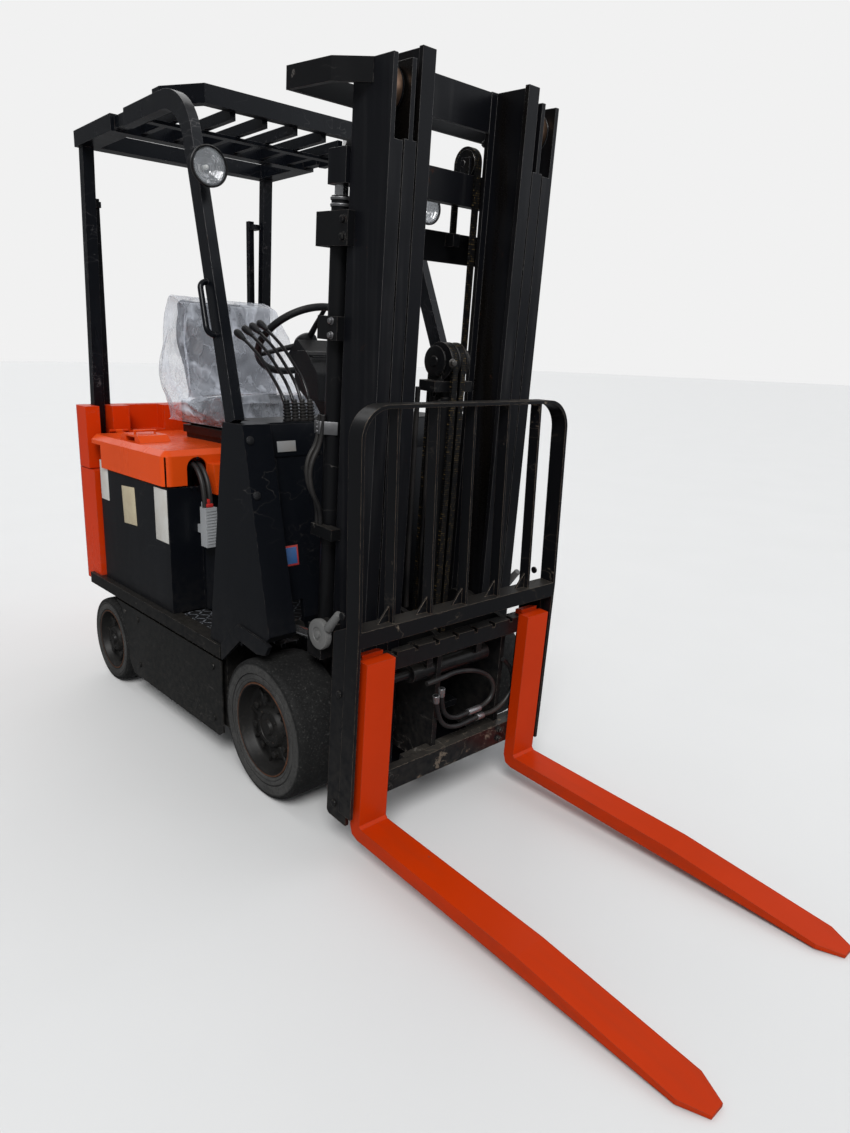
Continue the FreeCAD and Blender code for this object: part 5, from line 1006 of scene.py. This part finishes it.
def make_headlamps():
    for side, word in ((1, "right"), (-1, "left")):
        x, y, z = centre = (side * LAMP_PLACE[0], LAMP_PLACE[1], LAMP_PLACE[2])
        bowl = [(0, 0), (0, 24), (3, 30), (13, 44), (24, 54), (35, 57.5), (38, 59.6), (44.5, 59.6),
                (47, 57.5), (46, 54.6), (42, 53.8),
                (35, 52), (22, 40), (11, 20), (9, 0)]
        Form().lathe(bowl, centre, (0, 1, 0), 64).done("lamp_bowl_" + word, "cast_black", "chassis",
                                                        replaces=["headlamps"] if side > 0 else ())
        mirror = [(10.5, 0), (12, 10)]
        for k in range(1, 9):
            mirror += [(11 + 27 * (k / 8) ** 2, 6.0 * k), (11.6 + 27 * (k / 8) ** 2, 6.0 * k + 3.4)]
        Form().lathe(mirror + [(40, 50), (26, 40), (14, 16), (13, 0)], centre, (0, 1, 0), 10).done(
            "lamp_mirror_" + word, "chrome", "chassis", smooth=20.0)
        Form().lathe([(12, 0), (12, 7), (24, 7), (28, 4), (29, 0)], centre, (0, 1, 0),
                     24).done("lamp_bulb_" + word, "white_plastic", "chassis")
        Form().lathe([(42, 0), (41.6, 34), (40, 53.4), (41, 54), (43.5, 52.6), (45.5, 34), (46.4, 0)],
                     centre, (0, 1, 0), 64).done(
            "lamp_glass_" + word, "glass", "chassis")
        form = Form().block((x - side * 16 - 7, y - 30, z - 19), (x - side * 16 + 7, y + 3, z + 19), 2)
        form.bolt((x, y - 1, z), (0, -1, 0), 13, 6)
        form.done("lamp_bracket_" + word, "cast_black", "chassis")
        loop = [(4, 2, 24), (20, -12, 60), (48, -30, 84), (66, -44, 50), (34, -52, -6)]
        loop = [(x - side * inward, y + dy, z + dz) for inward, dy, dz in loop]
        wire("lamp_wire_" + word, loop, 5, "white_plastic", "chassis", order=4)


# Fittings on mast, carriage and body


def make_mast_fittings():
    form = Form()
    for z in (1795, 1812):
        form.lathe([(-1, 18), (-1, 29.5), (5, 30.5), (7, 29), (7, 18)], (300, 45, z), (0, 0, 1), 40)
    form.mirrored().done("barrel_collars", "zinc", "mast_outer", MAST)
    form = Form().bolt((341.6, 76, 1453), (1, 0, 0), 15, 8).bolt((341.6, 76, 1492), (1, 0, 0), 15, 8)
    form.mirrored().done("clamp_bolts", "zinc", "mast_outer", MAST)
    band = [(343, 14), (346.5, 14), (346.5, 42), (308, 78), (305, 75.5), (343, 40.5)]
    form = Form().sheet([(x, y, 1169) for x, y in band], (0, 0, 38), 0.5)
    for z in (1176, 1188, 1200):
        form.bolt((346.4, 27, z), (1, 0, 0), 7, 2, washer=False)
    form.done("barrel_strap", "zinc", "mast_outer", MAST)
    form = Form()
    for z in (1712, 1756):
        form.bolt((341.8, 118, z), (1, 0, 0), 18, 9)
    form.mirrored().done("tie_bolts", "cast_black", "mast_outer", MAST)
    for name, spot, body in (("outer", (266, 300, 2072), "mast_outer"),
                             ("middle", (226, 243, 2080), "mast_middle")):
        x0, x1, z = spot
        face = [(0, 0), (0, 56), (2, 58.6), (x1 - x0 - 2, 58.6), (x1 - x0, 56.6), (x1 - x0, 30),
                (x1 - x0 - 2, 28), (x1 - x0 - 2, 24),
                (x1 - x0 + 3, 22), (x1 - x0 + 3, 0)]
        Form().lathe(face, (x0, 184, z), (1, 0, 0),
                     72).mirrored().done("roller_disc_" + name, "bronze", body, MAST)
    form = Form().lathe([(0, 0), (0, 46), (14, 48), (19, 46), (20, 42), (20, 24), (17, 22), (17, 12),
                         (23, 11), (24, 0)],
                        (384, 144, 583), (1, 0, 0), 56)
    form.rod((392, 182, 612), (392, 232, 676), 15, 11, bevel=3)
    form.mirrored().done("tilt_pin_caps", "cast_grey", "mast_outer", MAST)
    form = Form()
    for x in (-184, 184):
        form.bolt((x, 104, 2032), (0, -1, 0), 16, 8)
    form.done("inner_tie_bolts", "cast_black", "mast_inner", MAST)
    form = Form()
    form.lathe([(0, 0), (0, 40), (3, 43), (3, 45), (7, 45), (9, 40), (9, 16), (12, 14), (12, 0)],
               (46, 200, 1397), (1, 0, 0), 48)
    form.mirrored().done("sheave_discs", "cast_black", "free_lift_head", MAST)
    Form().bolt((40, 262, 1397), (0, 1, 0), 18, 9).done("sheave_bolt", "steel", "free_lift_head", MAST)
    for i, x in enumerate((-30, 30)):
        wire("free_lift_hose_%d" % i,
             [(x + 60, 176, 1320), (x + 62, 178, 1180), (x + 58, 176, 960), (x + 60, 180, 760),
              (x + 52, 178, 620)],
             16, "rubber", "mast_inner", MAST)


SHIFT_HOSES = [
    (430, [(165, 432), (158, 380), (126, 317), (66, 295), (14, 298), (-26, 301)],
     425, [(-59, 297), (-116, 294), (-172, 320), (-199, 370), (-178, 436), (-132, 475)]),
    (430, [(143, 450), (140, 394), (116, 347), (70, 327), (18, 331)],
     425, [(-41, 328), (-88, 343), (-103, 381), (-80, 427), (-10, 469), (83, 488), (138, 480), (203, 479)])]


def make_carriage_fittings():
    form = Form()
    for y, z in ((394, 746), (394, 517), (390, 173)):
        form.lathe([(0, 0), (0, 11), (4, 10.5), (6, 8), (6.5, 0)], (389.8, y, z), (1, 0, 0), 24)
    form.mirrored().done("end_plate_bolts", "cast_black", "side_shift_frame", SHIFTED)
    form = Form()
    for x in (-236, 236):
        for z in (199, 233):
            form.bolt((x, 446, z), (0, 1, 0), 18, 9)
    form.done("lower_hook_bolts", "cast_black", "side_shift_frame", SHIFTED)
    for i, (y0, first, y1, second) in enumerate(SHIFT_HOSES):
        near, far = [(x, y0, z) for x, z in first], [(x, y1, z) for x, z in second]
        wire("shift_hose_%d" % i, near + far, 15, "rubber", "carriage", MAST)
        form = Form().rod(near[-1], far[0], 10.5, 10.5, bevel=1.5)
        form.rod(near[0], Vector(near[0]).lerp(Vector(near[1]), 0.5), 11, 9.5, bevel=1.5)
        form.done("hose_crimp_%d" % i, "zinc", "carriage", MAST)


def cowl_face(z, out=0.0):
    """Y of the cowl's leaning front at a height."""
    return -28 - 90 * (z - 560) / 622 + out


def make_body_fittings():
    plates = [("cover_plate_rear", "white_plate", (-1284, -1204), (779, 941), 0),
              ("cover_plate_mid", "yellow_plate", (-1079, -929), (717, 866), 0.06),
              ("cover_plate_front", "white_plate", (-768, -662), (702, 900), 0)]
    for name, finish, (y0, y1), (z0, z1), skew in plates:
        turn = Matrix.Rotation(skew, 3, "X") if skew else None
        inset = 14 if skew else 0
        Form().block((480, y0 + inset, z0), (481.2, y1 - inset, z1), 0.4,
                     turn=turn).done(name, finish, "chassis")
    tilt = Matrix.Rotation(math.atan2(90, 622), 3, "X")
    for name, finish, grow, out in (("sticker_border", "red_sticker", 0, 0),
                                    ("sticker_field", "blue_sticker", 6, 0.7)):
        y = cowl_face(764.5)
        Form().block((322 + grow, y - 0.3 + out, 732 + grow), (390 - grow, y + 1.3 + out, 797 - grow), 0.5,
                     turn=tilt).done(
            name, finish, "chassis")
    y = cowl_face(1108) + 4
    Form().block((298, y - 0.2, 1091), (366, y + 1.8, 1125), 0.6,
                 turn=tilt).done("name_plate_blank", "grey_plate", "chassis")
    form = Form()
    for x0, x1, z0, z1 in ((-399, 399, 1075, 1178), (-399, -372, 622, 1075), (372, 399, 622, 1075)):
        middle = (z0 + z1) / 2
        high = (z1 - z0) / 2
        form.block((x0, cowl_face(middle) - 3, middle - high), (x1, cowl_face(middle) + 4, middle + high),
                   2.5, turn=tilt)
    form.done("cowl_frame", "body_paint", "chassis")
    form = Form()
    for y, z in ((-75, 1136), (-42, 973)):
        form.lathe([(0, 0), (0, 13), (2.5, 13), (4.5, 10), (5, 0)], (478, y, z), (0, 0.98, 0.2), 32)
    form.mirrored().done("foot_plugs", "plastic", "chassis")
    form = Form()
    for y, z in ((-1064, 344), (-318, 342)):
        form.lathe([(-1, 0), (-1, 9.5), (1.4, 9.5), (3.2, 6), (3.6, 0)], (502, y, z), (1, 0, 0), 24)
    form.lathe([(-1, 0), (-1, 7), (1.5, 7), (2.6, 4), (2.8, 0)], (503.6, -933, 412), (1, 0, 0), 20)
    form.mirrored().done("side_bolts", "steel", "chassis")
    form = Form().block((344, -606, 838.5), (370, -574, 852),
                        3).block((350, -600, 850), (364, -582, 868), 3)
    form.done("connector_tab", "red_plastic", "chassis")
    form = Form()
    for z in range(704, 830, 11):
        form.block((333.5, -608, z), (335.6, -570, z + 5), 0.8).block((338, -566.4, z),
                                                                      (376, -564.4, z + 5), 0.8)
    form.done("connector_ribs", "grey_plastic", "chassis")
    form = Form()
    for x in (326, 348, 371, 393):
        form.rod((x, -655, 905), (x, -640, 905), 3, steps=12)
    form.rod((362, -652, 1011), (362, -646, 1011), 5)
    form.done("notch_rivets", "cast_black", "hood")
    form = Form().rod((346, -1026, 1078), (438, -1026, 1078), 4.5, steps=20)
    form.rod((352, -1026, 1064), (352, -1026, 1078), 4.5,
             steps=16).rod((432, -1026, 1064), (432, -1026, 1078), 4.5, steps=16)
    form.done("latch_handle", "hood_paint", "hood")
    form = Form().rod((0, -1503, 530), (0, -1503, 722), 13,
                      bevel=2).rod((0, -1503, 722), (0, -1503, 742), 20, bevel=4)
    form.done("tow_pin", "steel", "chassis")


# The add-on


def dress_frame():
    """Gives every node of the frame its material."""
    for finish, names in NODE_LOOKS.items():
        for name in names:
            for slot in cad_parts[name].material_slots:
                slot.material = look(finish)


def paint_property(name, description, colour):
    return bpy.props.FloatVectorProperty(name=name, description=description, size=3, subtype="COLOR",
                                         default=colour, min=0, max=1)


class ForkliftSettings(bpy.types.PropertyGroup):
    hood_colour: paint_property("Hood colour", "Paint of the hood", ORANGE)
    tail_colour: paint_property("Counterweight colour", "Paint of the counterweight", CAST_ORANGE)
    # The forks' default colour is darkened as painted shade.
    fork_colour: paint_property("Fork colour", "Paint of the forks", SHADED_FORK_ORANGE)
    body_colour: paint_property("Body colour", "Paint of body and guard", CHARCOAL)
    lens: bpy.props.FloatProperty(name="Lens", description="Focal length on a sensor 36 mm high",
                                  default=25.40, unit="CAMERA", min=5)
    pad_pressure: bpy.props.FloatProperty(name="Pad pressure", default=4.0, min=0, max=20,
                                          description="How hard the seat pads are stuffed")


class FORKLIFT_OT_stage(bpy.types.Operator):
    """Add the camera, the lights and the floor"""
    bl_idname = "forklift.stage"
    bl_label = "Camera, lights and floor"

    def execute(self, context):
        make_camera(context.scene.forklift)
        make_world()
        make_floor()
        make_sun("key", (3.2, 3.6, 5.0), 2.3, 26)
        make_sun("fill", (-4.0, 2.4, 3.2), 0.8, 70, (0.93, 0.96, 1))
        make_sun("back", (-1.5, -4.6, 4.2), 1.0, 60)
        context.scene.view_settings.view_transform = "Standard"
        return {"FINISHED"}


class FORKLIFT_OT_cords(bpy.types.Operator):
    """Lay the battery cables and the mast hoses"""
    bl_idname = "forklift.cords"
    bl_label = "Cables and hoses"

    def execute(self, context):
        make_cords()
        return {"FINISHED"}


class FORKLIFT_OT_frame(bpy.types.Operator):
    """Paint the frame's own parts"""
    bl_idname = "forklift.frame"
    bl_label = "Paint and steel"

    def execute(self, context):
        dress_frame()
        return {"FINISHED"}


class FORKLIFT_OT_wheels(bpy.types.Operator):
    """Make tyres, rims, nuts and hub caps"""
    bl_idname = "forklift.wheels"
    bl_label = "Wheels"

    def execute(self, context):
        for side, word in ((1, "right"), (-1, "left")):
            make_wheel(side, "front", "front_wheel_" + word)
            make_wheel(side, "rear", "rear_wheel_" + word)
        return {"FINISHED"}


class FORKLIFT_OT_seat(bpy.types.Operator):
    """Stuff the seat's pads and drape the clear bag over them"""
    bl_idname = "forklift.seat"
    bl_label = "Seat and its bag"

    def execute(self, context):
        settings = context.scene.forklift
        make_pad(settings, "seat_cushion_pad", "seat_cushion")
        make_pad(settings, "seat_back_pad", "seat_back")
        make_seat_fittings()
        make_bag(settings)
        return {"FINISHED"}


class FORKLIFT_OT_controls(bpy.types.Operator):
    """Make the steering wheel, the levers with their boots and the dash's fittings"""
    bl_idname = "forklift.controls"
    bl_label = "Controls"

    def execute(self, context):
        make_steering_wheel()
        make_levers()
        make_dash()
        return {"FINISHED"}


class FORKLIFT_OT_headlamps(bpy.types.Operator):
    """Make both headlamps"""
    bl_idname = "forklift.headlamps"
    bl_label = "Headlamps"

    def execute(self, context):
        make_headlamps()
        return {"FINISHED"}


class FORKLIFT_OT_fittings(bpy.types.Operator):
    """Add the fittings of mast, carriage and body"""
    bl_idname = "forklift.fittings"
    bl_label = "Fittings"

    def execute(self, context):
        make_mast_fittings()
        make_carriage_fittings()
        make_body_fittings()
        return {"FINISHED"}


class FORKLIFT_PT_panel(bpy.types.Panel):
    bl_label = "Forklift"
    bl_space_type = "VIEW_3D"
    bl_region_type = "UI"
    bl_category = "Forklift"

    def draw(self, context):
        for name in ("hood_colour", "tail_colour", "fork_colour", "body_colour", "lens", "pad_pressure"):
            self.layout.prop(context.scene.forklift, name)
        for step in STEPS:
            self.layout.operator(step.bl_idname)


STEPS = (FORKLIFT_OT_stage, FORKLIFT_OT_cords, FORKLIFT_OT_frame, FORKLIFT_OT_wheels, FORKLIFT_OT_seat,
         FORKLIFT_OT_controls, FORKLIFT_OT_headlamps, FORKLIFT_OT_fittings)
CLASSES = (ForkliftSettings,) + STEPS + (FORKLIFT_PT_panel,)


def register():
    for entry in CLASSES:
        bpy.utils.register_class(entry)
    bpy.types.Scene.forklift = bpy.props.PointerProperty(type=ForkliftSettings)


def unregister():
    del bpy.types.Scene.forklift
    for entry in reversed(CLASSES):
        bpy.utils.unregister_class(entry)


def main():
    register()
    for step in STEPS:
        getattr(bpy.ops.forklift, step.bl_idname.split(".")[1])()


if __name__ == "__main__":
    main()
